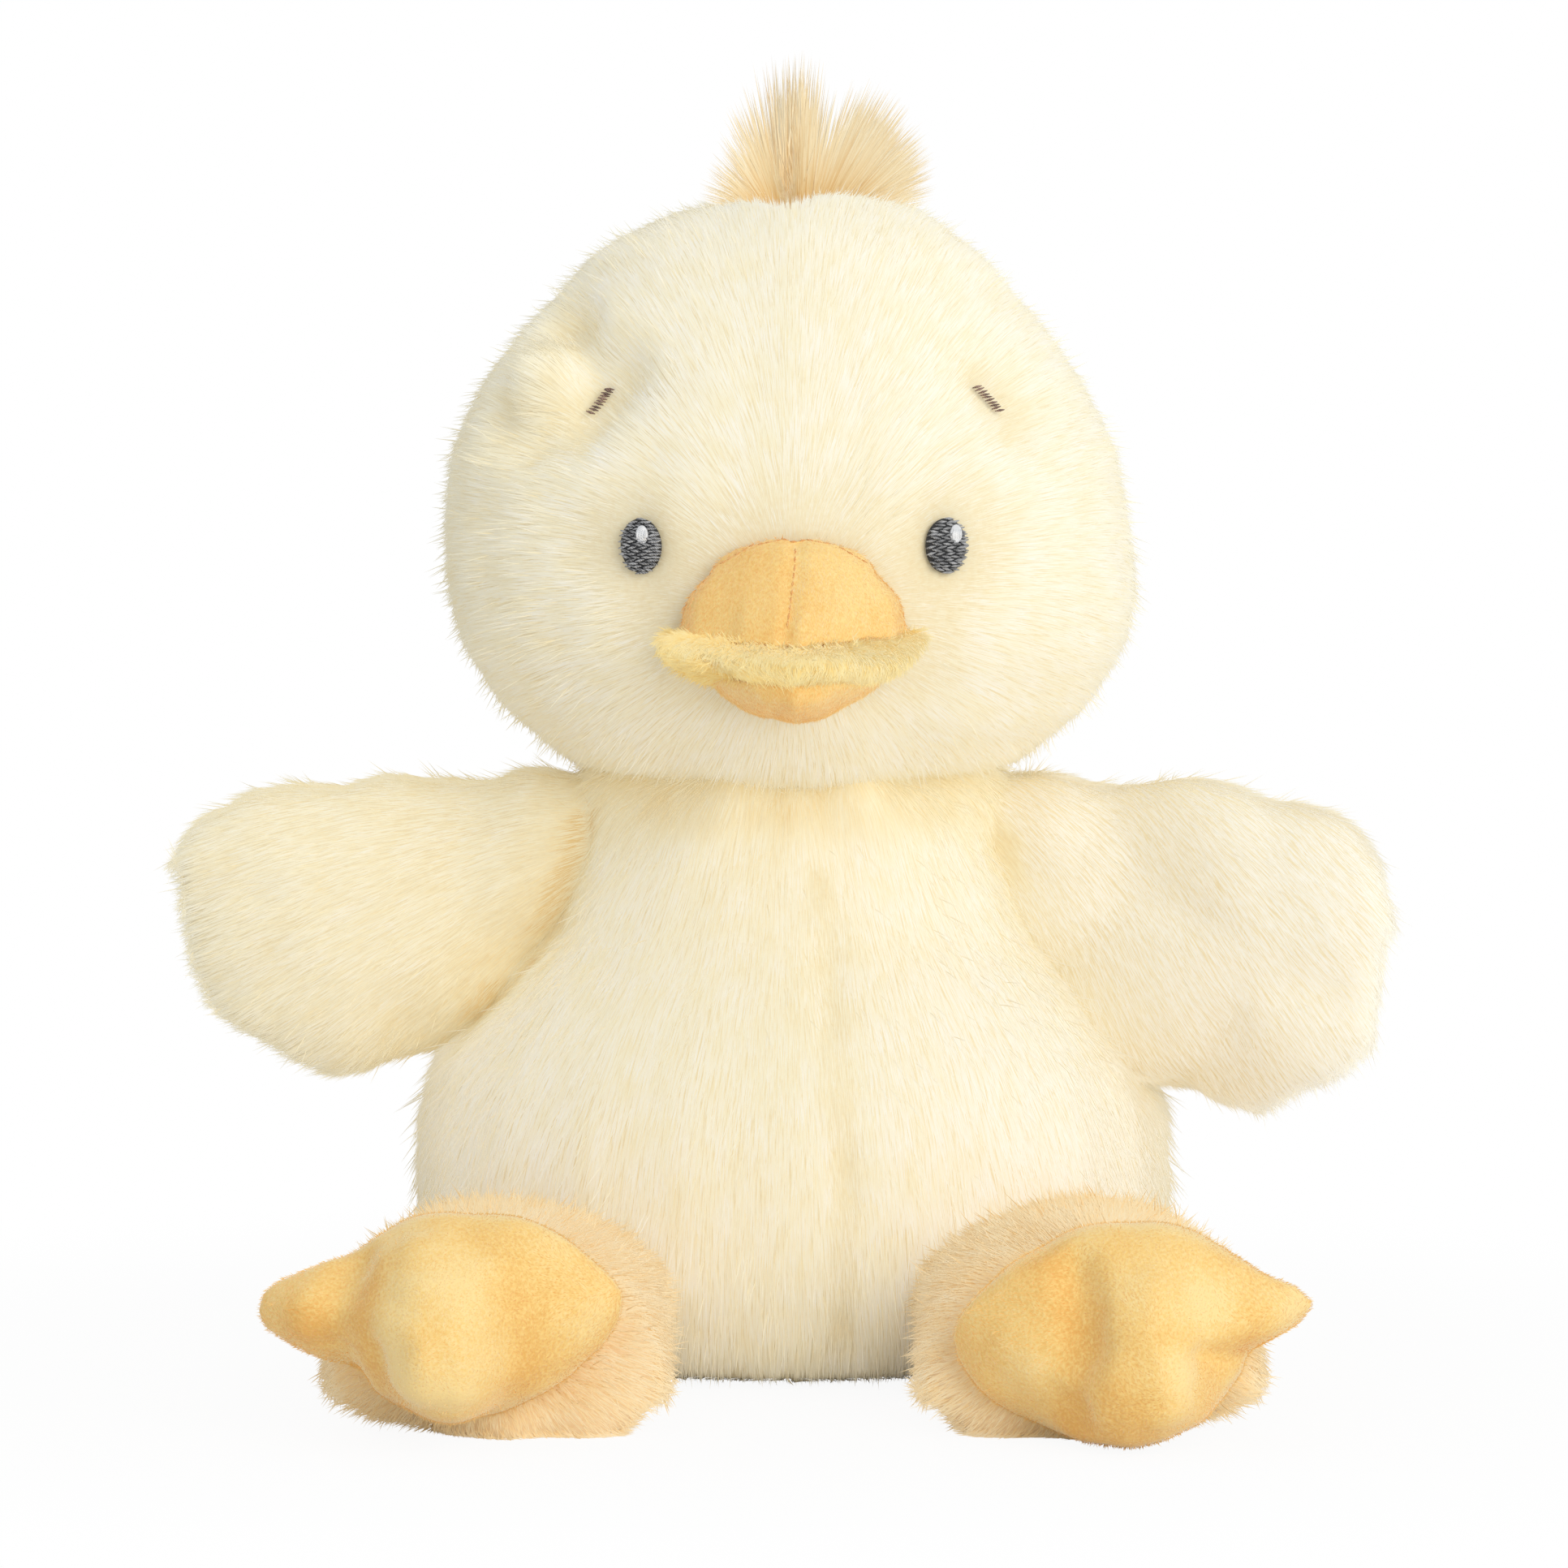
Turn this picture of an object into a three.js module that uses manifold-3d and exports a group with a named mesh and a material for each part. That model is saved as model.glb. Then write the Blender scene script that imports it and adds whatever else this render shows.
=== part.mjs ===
// A seated plush duckling: a pear-shaped torso on a flat seat, a big round head on a stuffed neck,
// two lobed wings, two short legs with webbed feet, a soft bill, embroidered eyes and brows, a crest and a tail.
// Every soft part is a fabric shell of sewn panels round its own filling.
// Millimetres, +Z up, the duckling faces -Y, so its right side is at -X. The origin is the middle of the seat,
// on the surface that it sits on.
import * as THREE from "three";
import { mergeVertices } from "three/addons/utils/BufferGeometryUtils.js";
import Module from "manifold-3d";

const wasm = await Module();
wasm.setup();

// Fabric, thread and clearances
const pileThickness = 6; // long-pile plush with its pile lying
const velourThickness = 2; // short-pile velour of the bill and the feet
const threadThickness = 1.2; // neck stitching
const seamGap = 0.3; // between pieces that are sewn or pressed together
const swingClearance = 0.6; // round what a moving piece passes
const cutterOverrun = 40; // how far a cutting block reaches past what it cuts
const weldDistance = 0.0001;

// Torso, from the seat up to the neck
const torsoWidth = 160;
const torsoDepth = 116;
const torsoHeight = 118;
const torsoProfileShares = [
  [0.66, 0],
  [0.8, 0.03],
  [0.92, 0.1],
  [0.985, 0.21],
  [1, 0.34],
  [0.985, 0.47],
  [0.93, 0.57],
  [0.83, 0.67],
  [0.72, 0.765],
  [0.63, 0.86],
  [0.55, 0.93],
  [0.46, 0.98],
  [0.34, 1],
];
const bellySeamOffset = 7; // the front seam runs a little to the duckling's left
const pouchWidth = 92;
const pouchDepth = 66;
const pouchHeight = 34;
const pouchSunk = 5; // how much of its round underside is pressed flat

// Neck
const neckRadius = 24;
const neckPivotDepth = 6; // below the top of the torso
const neckCrease = 2; // height left free between torso and head

// Head
const headWidth = 144;
const headDepth = 126;
const headHeight = 124;
const headProfileShares = [
  [0, 0],
  [0.38, 0.012],
  [0.62, 0.055],
  [0.8, 0.13],
  [0.93, 0.225],
  [0.99, 0.32],
  [1, 0.41],
  [0.985, 0.51],
  [0.93, 0.64],
  [0.84, 0.735],
  [0.7, 0.835],
  [0.54, 0.92],
  [0.3, 0.985],
  [0, 1],
];
const headBackSeam = 12; // the face panels end this far behind the middle of the head

// Bill, measured from the middle of its brim
const billHeight = 31; // above the underside of the head
const billSetback = 12; // how far the brim's middle lies inside the face
const brimWidth = 55;
const brimLength = 66;
const brimThickness = 11;
const brimLift = 5; // how far the corners of the mouth rise
const domeWidth = 46;
const domeLength = 57;
const domeHeight = 28;
const lowerBillWidth = 38;
const lowerBillLength = 52;
const lowerBillThickness = 19;
const lowerBillDrop = 6; // its middle below the brim's middle
const roundOutlineShares = [
  [1, 0],
  [0.82, 0.66],
  [0, 1],
  [-0.82, 0.66],
  [-1, 0],
  [-0.82, -0.66],
  [0, -1],
  [0.82, -0.66],
];

// Embroidery, placed from the middle of the face and from the underside of the head
const eyeSpacing = 61;
const eyeHeight = 54;
const eyeWidth = 9.8;
const eyeTall = 12.2;
const embroideryThickness = 2.4;
const highlightDiameter = 3;
const highlightShift = 1.2; // towards the duckling's left
const highlightRise = 2.4;
const browSpacing = 78;
const browHeight = 83;
const browLength = 7.5;
const browWidth = 2;
const browSlantDegrees = 42;

// Crest of long pile, on the crown
const crestWidth = 39;
const crestHeight = 27;
const crestThickness = 11;
const crestBevel = 2;
const crestSunk = 4; // below the crown
const crestOutlineShares = [
  [-0.1, 0],
  [-0.36, 0.16],
  [-0.4, 0.34],
  [-0.28, 0.6],
  [-0.2, 0.86],
  [-0.08, 1],
  [0.06, 0.96],
  [0.14, 0.7],
  [0.24, 0.9],
  [0.4, 0.8],
  [0.52, 0.52],
  [0.58, 0.24],
  [0.32, 0],
];

// Wings, in their own plane: outwards and upwards from the middle of the wing
const wingReach = 91; // from root to tip
const wingTall = 68;
const wingThickness = 30;
const wingRootInset = 12; // the root reaches this far into the torso before it is cut
const wingSeamHeight = 92;
const wingSeamSlantDegrees = 37; // of the seam, from upright
const wingRaise = 2; // middle of the wing above the middle of its seam
const wingFlapDegrees = 20; // each way
const wingPoses = [
  { side: -1, droopDegrees: -1, forwardDegrees: 6 },
  { side: 1, droopDegrees: 7, forwardDegrees: 26 },
];
const wingOutlineShares = [
  [-0.44, 0.46],
  [-0.22, 0.38],
  [0.02, 0.39],
  [0.2, 0.4],
  [0.34, 0.33],
  [0.42, 0.23],
  [0.44, 0.14],
  [0.395, 0.02],
  [0.405, -0.16],
  [0.34, -0.31],
  [0.2, -0.38],
  [0.14, -0.45],
  [0, -0.49],
  [-0.1, -0.42],
  [-0.26, -0.3],
  [-0.46, -0.02],
  [-0.56, 0.26],
];

// Legs
const legSpacing = 116;
const legWidth = 65;
const legTall = 41;
const legReach = 105; // front of the leg before the middle of the seat
const legLength = 84;
const legFlatDepth = 0.5; // cut off where the leg lies on the surface
const legRaiseDegrees = 20;
const legDropDegrees = 10;
const legProfileShares = [
  [0, 0],
  [0.62, 0.03],
  [0.86, 0.12],
  [0.97, 0.28],
  [1, 0.48],
  [1, 0.68],
  [0.95, 0.84],
  [0.82, 0.94],
  [0.5, 0.99],
  [0, 1],
];

// Feet: outwards and forwards from the middle of the foot
const footWidth = 74;
const footLength = 44;
const footThickness = 37;
const footPoses = [
  { side: -1, outset: 11, lead: 8, rise: 5, pitchDegrees: 12, rollDegrees: 2 },
  { side: 1, outset: 9, lead: 7, rise: 5, pitchDegrees: 34, rollDegrees: -4 },
];
const footOutlineShares = [
  [0.5, 0.04],
  [0.43, 0.15],
  [0.3, 0.24],
  [0.17, 0.38],
  [0.1, 0.6],
  [0, 0.66],
  [-0.1, 0.58],
  [-0.18, 0.4],
  [-0.32, 0.28],
  [-0.44, 0.14],
  [-0.49, 0],
  [-0.4, -0.14],
  [-0.22, -0.3],
  [0, -0.36],
  [0.22, -0.32],
  [0.42, -0.14],
];

// Tail
const tailWidth = 42;
const tailLength = 52;
const tailThickness = 26;
const tailHeight = 38;
const tailTiltDegrees = 32;
const tailSunk = 2; // its middle inside the surface of the back
const tailOutlineShares = [
  [0.5, -0.1],
  [0.34, 0.24],
  [0, 0.5],
  [-0.34, 0.24],
  [-0.5, -0.1],
  [-0.36, -0.4],
  [0, -0.5],
  [0.36, -0.4],
];

// Head movement
const headNodDegrees = 8;
const headTurnDegrees = 20;

// Facets
const bigSides = 22;
const bigSteps = 12;
const midSides = 16;
const midSteps = 8;
const smallSides = 10;
const smallRings = 5;
const ballSides = 48; // fine, because the neck turns close inside its sockets
const ballSteps = 24;
const innerFacetShare = 0.7; // of them, on the inside of the plush and on its filling
const curveSamples = 240;

const rad = THREE.MathUtils.degToRad;
const X = new THREE.Vector3(1, 0, 0);
const Y = new THREE.Vector3(0, 1, 0);
const Z = new THREE.Vector3(0, 0, 1);

// One material for each fabric
const fabric = (name, color, roughness) => new THREE.MeshStandardMaterial({ name, color, roughness, metalness: 0 });
const creamPlush = fabric("cream_plush", 0xf8efcf, 1);
const peachPlush = fabric("peach_plush", 0xf4d3a0, 1);
const crestPlush = fabric("crest_plush", 0xeccb94, 0.9);
const brimPlush = fabric("brim_plush", 0xf6e2a2, 1);
const orangeVelour = fabric("orange_velour", 0xf7cc7c, 0.85);
const greyThread = fabric("grey_thread", 0x3c3e46, 0.6);
const whiteThread = fabric("white_thread", 0xf2f2ef, 0.5);
const brownThread = fabric("brown_thread", 0x6e5040, 0.7);
const seamThread = fabric("seam_thread", 0xf3e6bc, 0.7);
const fibreFilling = fabric("fibre_filling", 0xfafaf7, 1);
const pouchCotton = fabric("pouch_cotton", 0xe4dfd2, 0.95);

// A closed geometry as a solid that can be joined and cut.
function solidOf(geometry) {
  const bare = geometry.index ? geometry.toNonIndexed() : geometry.clone();
  bare.deleteAttribute("normal");
  bare.deleteAttribute("uv");
  const merged = mergeVertices(bare, weldDistance);
  const corners = merged.index.array;
  const kept = [];
  for (let i = 0; i < corners.length; i += 3) {
    const [a, b, c] = [corners[i], corners[i + 1], corners[i + 2]];
    if (a !== b && b !== c && c !== a) kept.push(a, b, c);
  }
  const mesh = new wasm.Mesh({
    numProp: 3,
    vertProperties: merged.attributes.position.array,
    triVerts: new Uint32Array(kept),
  });
  return new wasm.Manifold(mesh);
}

// The solid's faces as a geometry.
function geometryOf(solid) {
  const mesh = solid.getMesh();
  const places = new Float32Array(mesh.numVert * 3);
  for (let i = 0; i < mesh.numVert; i++) {
    for (let k = 0; k < 3; k++) places[3 * i + k] = mesh.vertProperties[mesh.numProp * i + k];
  }
  const geometry = new THREE.BufferGeometry();
  geometry.setAttribute("position", new THREE.BufferAttribute(places, 3));
  geometry.setIndex(new THREE.BufferAttribute(mesh.triVerts, 1));
  geometry.computeVertexNormals();
  return geometry;
}

// The largest body of a solid: a cut can leave crumbs beside it.
function mainBody(solid) {
  return solid.decompose().reduce((best, next) => (next.volume() > best.volume() ? next : best));
}

// A block with the given lowest and highest corners.
function block(low, high) {
  const size = new THREE.Vector3().subVectors(high, low);
  const middle = new THREE.Vector3().addVectors(low, high).multiplyScalar(0.5);
  const box = new THREE.BoxGeometry(size.x, size.y, size.z);
  return solidOf(box.translate(middle.x, middle.y, middle.z));
}

// A copy of a geometry turned about an axis through a point.
function turned(geometry, pivot, axis, degrees) {
  const matrix = new THREE.Matrix4()
    .makeTranslation(pivot.x, pivot.y, pivot.z)
    .multiply(new THREE.Matrix4().makeRotationAxis(axis, rad(degrees)))
    .multiply(new THREE.Matrix4().makeTranslation(-pivot.x, -pivot.y, -pivot.z));
  return geometry.clone().applyMatrix4(matrix);
}

// Everything that a geometry passes through as it turns about an axis.
function swept(geometry, pivot, axis, fromDegrees, toDegrees, steps) {
  let whole = null;
  for (let i = 0; i <= steps; i++) {
    const degrees = fromDegrees + ((toDegrees - fromDegrees) * i) / steps;
    const copy = solidOf(turned(geometry, pivot, axis, degrees));
    whole = whole ? whole.add(copy) : copy;
  }
  return whole;
}

// A form turned on an upright axis with an oval plan, standing on z = 0. Inset draws every wall in.
function turnedForm({ width, depth, height, shares, sides, steps }, inset = 0) {
  const detail = inset > 0 ? innerFacetShare : 1;
  const halfWidth = width / 2 - inset;
  const high = height - 2 * inset;
  const knots = shares.map(([across, up]) => new THREE.Vector2(across * halfWidth, inset + up * high));
  const curve = new THREE.SplineCurve(knots).getPoints(Math.round(steps * detail));
  const profile = curve.map((p) => new THREE.Vector2(Math.max(p.x, 0), THREE.MathUtils.clamp(p.y, inset, inset + high)));
  if (profile[0].x > 0) profile.unshift(new THREE.Vector2(0, inset));
  if (profile.at(-1).x > 0) profile.push(new THREE.Vector2(0, inset + high));
  return new THREE.LatheGeometry(profile, Math.round(sides * detail))
    .rotateX(Math.PI / 2)
    .scale(1, (depth / 2 - inset) / halfWidth, 1);
}

// How far the turned form's front stands from its axis plane at one place.
function frontOf({ width, depth, height, shares, steps }, across, up) {
  const knots = shares.map(([w, h]) => new THREE.Vector2((w * width) / 2, h * height));
  const curve = new THREE.SplineCurve(knots).getPoints(curveSamples);
  const near = curve.reduce((best, p) => (Math.abs(p.y - up) < Math.abs(best.y - up) ? p : best));
  return (-depth / width) * Math.sqrt(Math.max(near.x ** 2 - across ** 2, 0));
}

// The distance from the middle to a closed outline, by direction.
function reachOf(shares, width, length) {
  const knots = shares.map(([x, y]) => new THREE.Vector3(x * width, y * length, 0));
  const line = new THREE.CatmullRomCurve3(knots, true).getPoints(curveSamples);
  const spots = line.map((p) => [Math.atan2(p.y, p.x), Math.hypot(p.x, p.y)]).sort((a, b) => a[0] - b[0]);
  const turn = 2 * Math.PI;
  return (angle) => {
    const at = spots.findIndex((s) => s[0] >= angle);
    const after = at < 0 ? [spots[0][0] + turn, spots[0][1]] : spots[at];
    const before = at <= 0 ? [spots.at(-1)[0] - (at < 0 ? 0 : turn), spots.at(-1)[1]] : spots[at - 1];
    const share = (angle - before[0]) / Math.max(after[0] - before[0], Number.EPSILON);
    return before[1] + (after[1] - before[1]) * share;
  };
}

// A stuffed pillow in the XY plane: its outline is given in shares of its width and length, and it swells to its
// thickness in the middle.
function pillowForm({ width, length, thickness, shares, sides, rings }, inset = 0) {
  const detail = inset > velourThickness + 2 * seamGap ? innerFacetShare : 1;
  const reach = reachOf(shares, width, length);
  const ball = new THREE.SphereGeometry(1, Math.round(sides * detail), Math.round(rings * detail)).rotateX(Math.PI / 2);
  const spots = ball.attributes.position;
  for (let i = 0; i < spots.count; i++) {
    const out = Math.hypot(spots.getX(i), spots.getY(i));
    const angle = Math.atan2(spots.getY(i), spots.getX(i));
    const radius = (reach(angle) - inset) * out;
    spots.setXYZ(i, radius * Math.cos(angle), radius * Math.sin(angle), spots.getZ(i) * (thickness / 2 - inset));
  }
  return ball;
}

const root = new THREE.Group();

// A group hung from its pivot, so that turning it moves what is in it as the real joint does.
function hungGroup(name, parent, pivot) {
  const group = new THREE.Group();
  group.name = name;
  group.position.copy(pivot);
  const above = parent.userData.pivot;
  if (above) group.position.sub(above);
  group.userData.pivot = pivot;
  parent.add(group);
  return group;
}

function addPiece(group, name, solid, material) {
  const { x, y, z } = group.userData.pivot;
  const mesh = new THREE.Mesh(geometryOf(mainBody(solid)).translate(-x, -y, -z), material);
  mesh.name = name;
  group.add(mesh);
}

// Torso: four panels and a flat seat round one filling, with a pouch of pellets at the bottom
const torsoShape = {
  width: torsoWidth,
  depth: torsoDepth,
  height: torsoHeight,
  shares: torsoProfileShares,
  sides: bigSides,
  steps: bigSteps,
};
const neckPivot = new THREE.Vector3(0, 0, torsoHeight - neckPivotDepth);
const neckBall = (growth) =>
  solidOf(new THREE.SphereGeometry(neckRadius + growth, ballSides, ballSteps).translate(0, 0, neckPivot.z));
// The faceted ball turns in its sockets, so they clear its corners all round.
const neckRoom = neckBall(seamGap + neckRadius * (1 / Math.cos(Math.PI / ballSides) - 1));

// The ring of stitches where the head is sewn on, just above the torso
function neckRing(growth) {
  const height = torsoHeight + seamGap + threadThickness / 2;
  const ballThere = Math.sqrt(neckRadius ** 2 - (height - neckPivot.z) ** 2);
  const radius = ballThere + seamGap + threadThickness / 2;
  const ring = new THREE.TorusGeometry(radius, threadThickness / 2 + growth, smallRings, bigSides);
  return ring.translate(0, 0, height);
}

const headBottom = torsoHeight + neckCrease;
const headShape = {
  width: headWidth,
  depth: headDepth,
  height: headHeight,
  shares: headProfileShares,
  sides: bigSides,
  steps: bigSteps,
};
const headForm = (inset) => turnedForm(headShape, inset).translate(0, 0, headBottom);

// Every place that the head reaches as it nods and turns
function headSweep() {
  let whole = null;
  for (const turn of [-headTurnDegrees, 0, headTurnDegrees]) {
    const facing = turned(headForm(-swingClearance), neckPivot, Z, turn);
    const sideways = X.clone().applyAxisAngle(Z, rad(turn));
    const nodding = swept(facing, neckPivot, sideways, -headNodDegrees, headNodDegrees, 4);
    whole = whole ? whole.add(nodding) : nodding;
  }
  return whole;
}
const headRoom = headSweep();

// The pouch of pellets, resting with a flat underside on the seat panel
function pouchSolid(growth) {
  const floor = pileThickness + seamGap;
  const sack = new THREE.SphereGeometry(1, midSides, midSteps)
    .rotateX(Math.PI / 2)
    .scale(pouchWidth / 2 + growth, pouchDepth / 2 + growth, pouchHeight / 2 + growth)
    .translate(0, 0, floor + pouchHeight / 2 - pouchSunk);
  const wide = pouchWidth + cutterOverrun;
  const low = new THREE.Vector3(-wide, -wide, floor - growth);
  return solidOf(sack).intersect(block(low, new THREE.Vector3(wide, wide, wide)));
}

function buildTorso() {
  const group = hungGroup("torso", root, new THREE.Vector3());
  const wide = torsoWidth / 2 + cutterOverrun;
  const high = torsoHeight + cutterOverrun;
  const outer = solidOf(turnedForm(torsoShape)).subtract(headRoom).subtract(neckRoom);
  const wall = outer.subtract(solidOf(turnedForm(torsoShape, pileThickness)));
  const [near, far] = [-wide, wide];
  const seamHalf = seamGap / 2;
  const panels = [
    ["torso_front_right", near, bellySeamOffset - seamHalf, near, -seamHalf],
    ["torso_front_left", bellySeamOffset + seamHalf, far, near, -seamHalf],
    ["torso_back_right", near, -seamHalf, seamHalf, far],
    ["torso_back_left", seamHalf, far, seamHalf, far],
  ];
  for (const [name, fromX, toX, fromY, toY] of panels) {
    const low = new THREE.Vector3(fromX, fromY, pileThickness + seamHalf);
    const panel = wall.intersect(block(low, new THREE.Vector3(toX, toY, high)));
    addPiece(group, name, panel, creamPlush);
  }
  const seatBlock = block(new THREE.Vector3(near, near, -high), new THREE.Vector3(far, far, pileThickness - seamHalf));
  addPiece(group, "seat_panel", outer.intersect(seatBlock), creamPlush);
  const stuffing = solidOf(turnedForm(torsoShape, pileThickness + seamGap))
    .subtract(headRoom)
    .subtract(neckRoom)
    .subtract(pouchSolid(seamGap));
  addPiece(group, "torso_filling", stuffing, fibreFilling);
  addPiece(group, "pellet_pouch", pouchSolid(0), pouchCotton);
  return group;
}

// Tail: a small stuffed point sewn to the back
function buildTail(group) {
  const shape = {
    width: tailWidth,
    length: tailLength,
    thickness: tailThickness,
    shares: tailOutlineShares,
    sides: smallSides,
    rings: smallRings,
  };
  const back = -frontOf(torsoShape, 0, tailHeight);
  const form = pillowForm(shape)
    .rotateX(rad(tailTiltDegrees))
    .translate(0, back - tailSunk, tailHeight);
  const tail = solidOf(form).subtract(solidOf(turnedForm(torsoShape, -seamGap)));
  addPiece(group, "tail", tail, creamPlush);
}

// Neck: a firm ball of filling between torso and head, and the ring of stitches round it
function buildNeck(parent) {
  const group = hungGroup("neck", parent, neckPivot);
  addPiece(group, "neck_filling", neckBall(0), fibreFilling);
  addPiece(group, "neck_stitching", solidOf(neckRing(0)), seamThread);
  return group;
}

// The bill's three forms, in place on the face
const billMiddle = new THREE.Vector3(0, 0, headBottom + billHeight);
billMiddle.y = frontOf(headShape, 0, billHeight) + billSetback;

function liftCorners(form) {
  const spots = form.attributes.position;
  for (let i = 0; i < spots.count; i++) {
    const share = spots.getX(i) / (brimWidth / 2);
    spots.setZ(i, spots.getZ(i) + brimLift * share ** 2);
  }
  return form;
}

function billForm(width, length, thickness, inset) {
  const shape = {
    width: width / 2,
    length: length / 2,
    thickness,
    shares: roundOutlineShares,
    sides: midSides,
    rings: midSteps,
  };
  return liftCorners(pillowForm(shape, inset)).translate(billMiddle.x, billMiddle.y, billMiddle.z);
}

function buildBill(group) {
  const reach = brimWidth + brimLength;
  const face = solidOf(headForm(-seamGap));
  const { x, y, z } = billMiddle;
  const above = block(new THREE.Vector3(x - reach, y - reach, z), new THREE.Vector3(x + reach, y + reach, z + reach));
  const brim = solidOf(billForm(brimWidth, brimLength, brimThickness, 0));
  const brimRoom = solidOf(billForm(brimWidth, brimLength, brimThickness, -seamGap));
  const dome = (inset) => solidOf(billForm(domeWidth, domeLength, 2 * domeHeight, inset));
  const fitted = (solid) => solid.intersect(above).subtract(brimRoom).subtract(face);
  const lower = solidOf(
    billForm(lowerBillWidth, lowerBillLength, lowerBillThickness, 0).translate(0, 0, -lowerBillDrop),
  );
  const skin = fitted(dome(0).subtract(dome(velourThickness)));
  const seamHalf = seamGap / 2;
  for (const [name, from, to] of [
    ["bill_upper_right", x - reach, x - seamHalf],
    ["bill_upper_left", x + seamHalf, x + reach],
  ]) {
    const half = block(new THREE.Vector3(from, y - reach, z), new THREE.Vector3(to, y + reach, z + reach));
    addPiece(group, name, skin.intersect(half), orangeVelour);
  }
  addPiece(group, "bill_filling", fitted(dome(velourThickness + seamGap)), fibreFilling);
  addPiece(group, "bill_brim", brim.subtract(face), brimPlush);
  addPiece(group, "bill_lower", lower.subtract(above).subtract(brimRoom).subtract(face), orangeVelour);
}

// A flat pad of stitches, lying in the face at a place given across and up from the underside of the head
function stitchPad({ width, tall, thickness, across, up, slantDegrees = 0, growth = 0, stand = 0 }) {
  const front = frontOf(headShape, across, up);
  const pad = new THREE.SphereGeometry(1, smallSides, smallRings)
    .rotateX(Math.PI / 2)
    .scale(width / 2 + growth, tall / 2 + growth, thickness / 2 + growth)
    .rotateZ(rad(slantDegrees))
    .rotateX(Math.PI / 2)
    .translate(0, -stand, 0);
  const outwards = new THREE.Vector3(across / headWidth ** 2, front / headDepth ** 2, 0).normalize();
  const facing = Math.atan2(outwards.x, -outwards.y);
  return solidOf(pad.rotateZ(facing).translate(across, front, headBottom + up));
}

function buildHead(parent) {
  const group = hungGroup("head", parent, neckPivot);
  const ringRoom = swept(neckRing(swingClearance), neckPivot, X, -headNodDegrees, headNodDegrees, 4);
  const underside = neckRoom.add(ringRoom);
  const outer = solidOf(headForm(0)).subtract(underside);
  const wall = outer.subtract(solidOf(headForm(pileThickness)));
  const eyes = [-1, 1].map((side) => ({
    name: side < 0 ? "right" : "left",
    eye: {
      width: eyeWidth,
      tall: eyeTall,
      thickness: embroideryThickness,
      across: (side * eyeSpacing) / 2,
      up: eyeHeight,
    },
    highlight: {
      width: highlightDiameter,
      tall: highlightDiameter,
      thickness: embroideryThickness / 2,
      across: (side * eyeSpacing) / 2 + highlightShift,
      up: eyeHeight + highlightRise,
      stand: embroideryThickness / 2,
    },
    brow: {
      width: browLength,
      tall: browWidth,
      thickness: browWidth,
      across: (side * browSpacing) / 2,
      up: browHeight,
      slantDegrees: side * -browSlantDegrees,
    },
  }));
  let face = wall;
  for (const { name, eye, highlight, brow } of eyes) {
    face = face.subtract(stitchPad({ ...eye, growth: seamGap })).subtract(stitchPad({ ...brow, growth: seamGap }));
    const pad = stitchPad(eye).subtract(stitchPad({ ...highlight, growth: seamGap }));
    addPiece(group, `eye_${name}`, pad, greyThread);
    addPiece(group, `eye_highlight_${name}`, stitchPad(highlight), whiteThread);
    addPiece(group, `brow_${name}`, stitchPad(brow), brownThread);
  }
  const wide = headWidth / 2 + cutterOverrun;
  const [low, high] = [headBottom - cutterOverrun, headBottom + headHeight + cutterOverrun];
  const seamHalf = seamGap / 2;
  for (const [name, fromX, toX, fromY, toY] of [
    ["face_right", -wide, -seamHalf, -wide, headBackSeam - seamHalf],
    ["face_left", seamHalf, wide, -wide, headBackSeam - seamHalf],
    ["head_back", -wide, wide, headBackSeam + seamHalf, wide],
  ]) {
    const cutter = block(new THREE.Vector3(fromX, fromY, low), new THREE.Vector3(toX, toY, high));
    addPiece(group, name, face.intersect(cutter), creamPlush);
  }
  const stuffing = solidOf(headForm(pileThickness + seamGap)).subtract(underside);
  addPiece(group, "head_filling", stuffing, fibreFilling);
  buildBill(group);
  buildCrest(group);
  return group;
}

// Crest: a fan of long pile that stands out of the crown seam
function buildCrest(group) {
  const knots = crestOutlineShares.map(([x, z]) => new THREE.Vector2(x * crestWidth, z * (crestHeight + crestSunk)));
  const fan = new THREE.ExtrudeGeometry(new THREE.Shape(knots), {
    depth: crestThickness - 2 * crestBevel,
    bevelThickness: crestBevel,
    bevelSize: crestBevel,
    bevelOffset: -crestBevel,
    bevelSegments: 1,
  });
  const crown = headBottom + headHeight;
  fan.translate(0, 0, crestBevel - crestThickness / 2).rotateX(Math.PI / 2).translate(0, 0, crown - crestSunk);
  addPiece(group, "crest", solidOf(fan).subtract(solidOf(headForm(-seamGap))), crestPlush);
}

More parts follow.
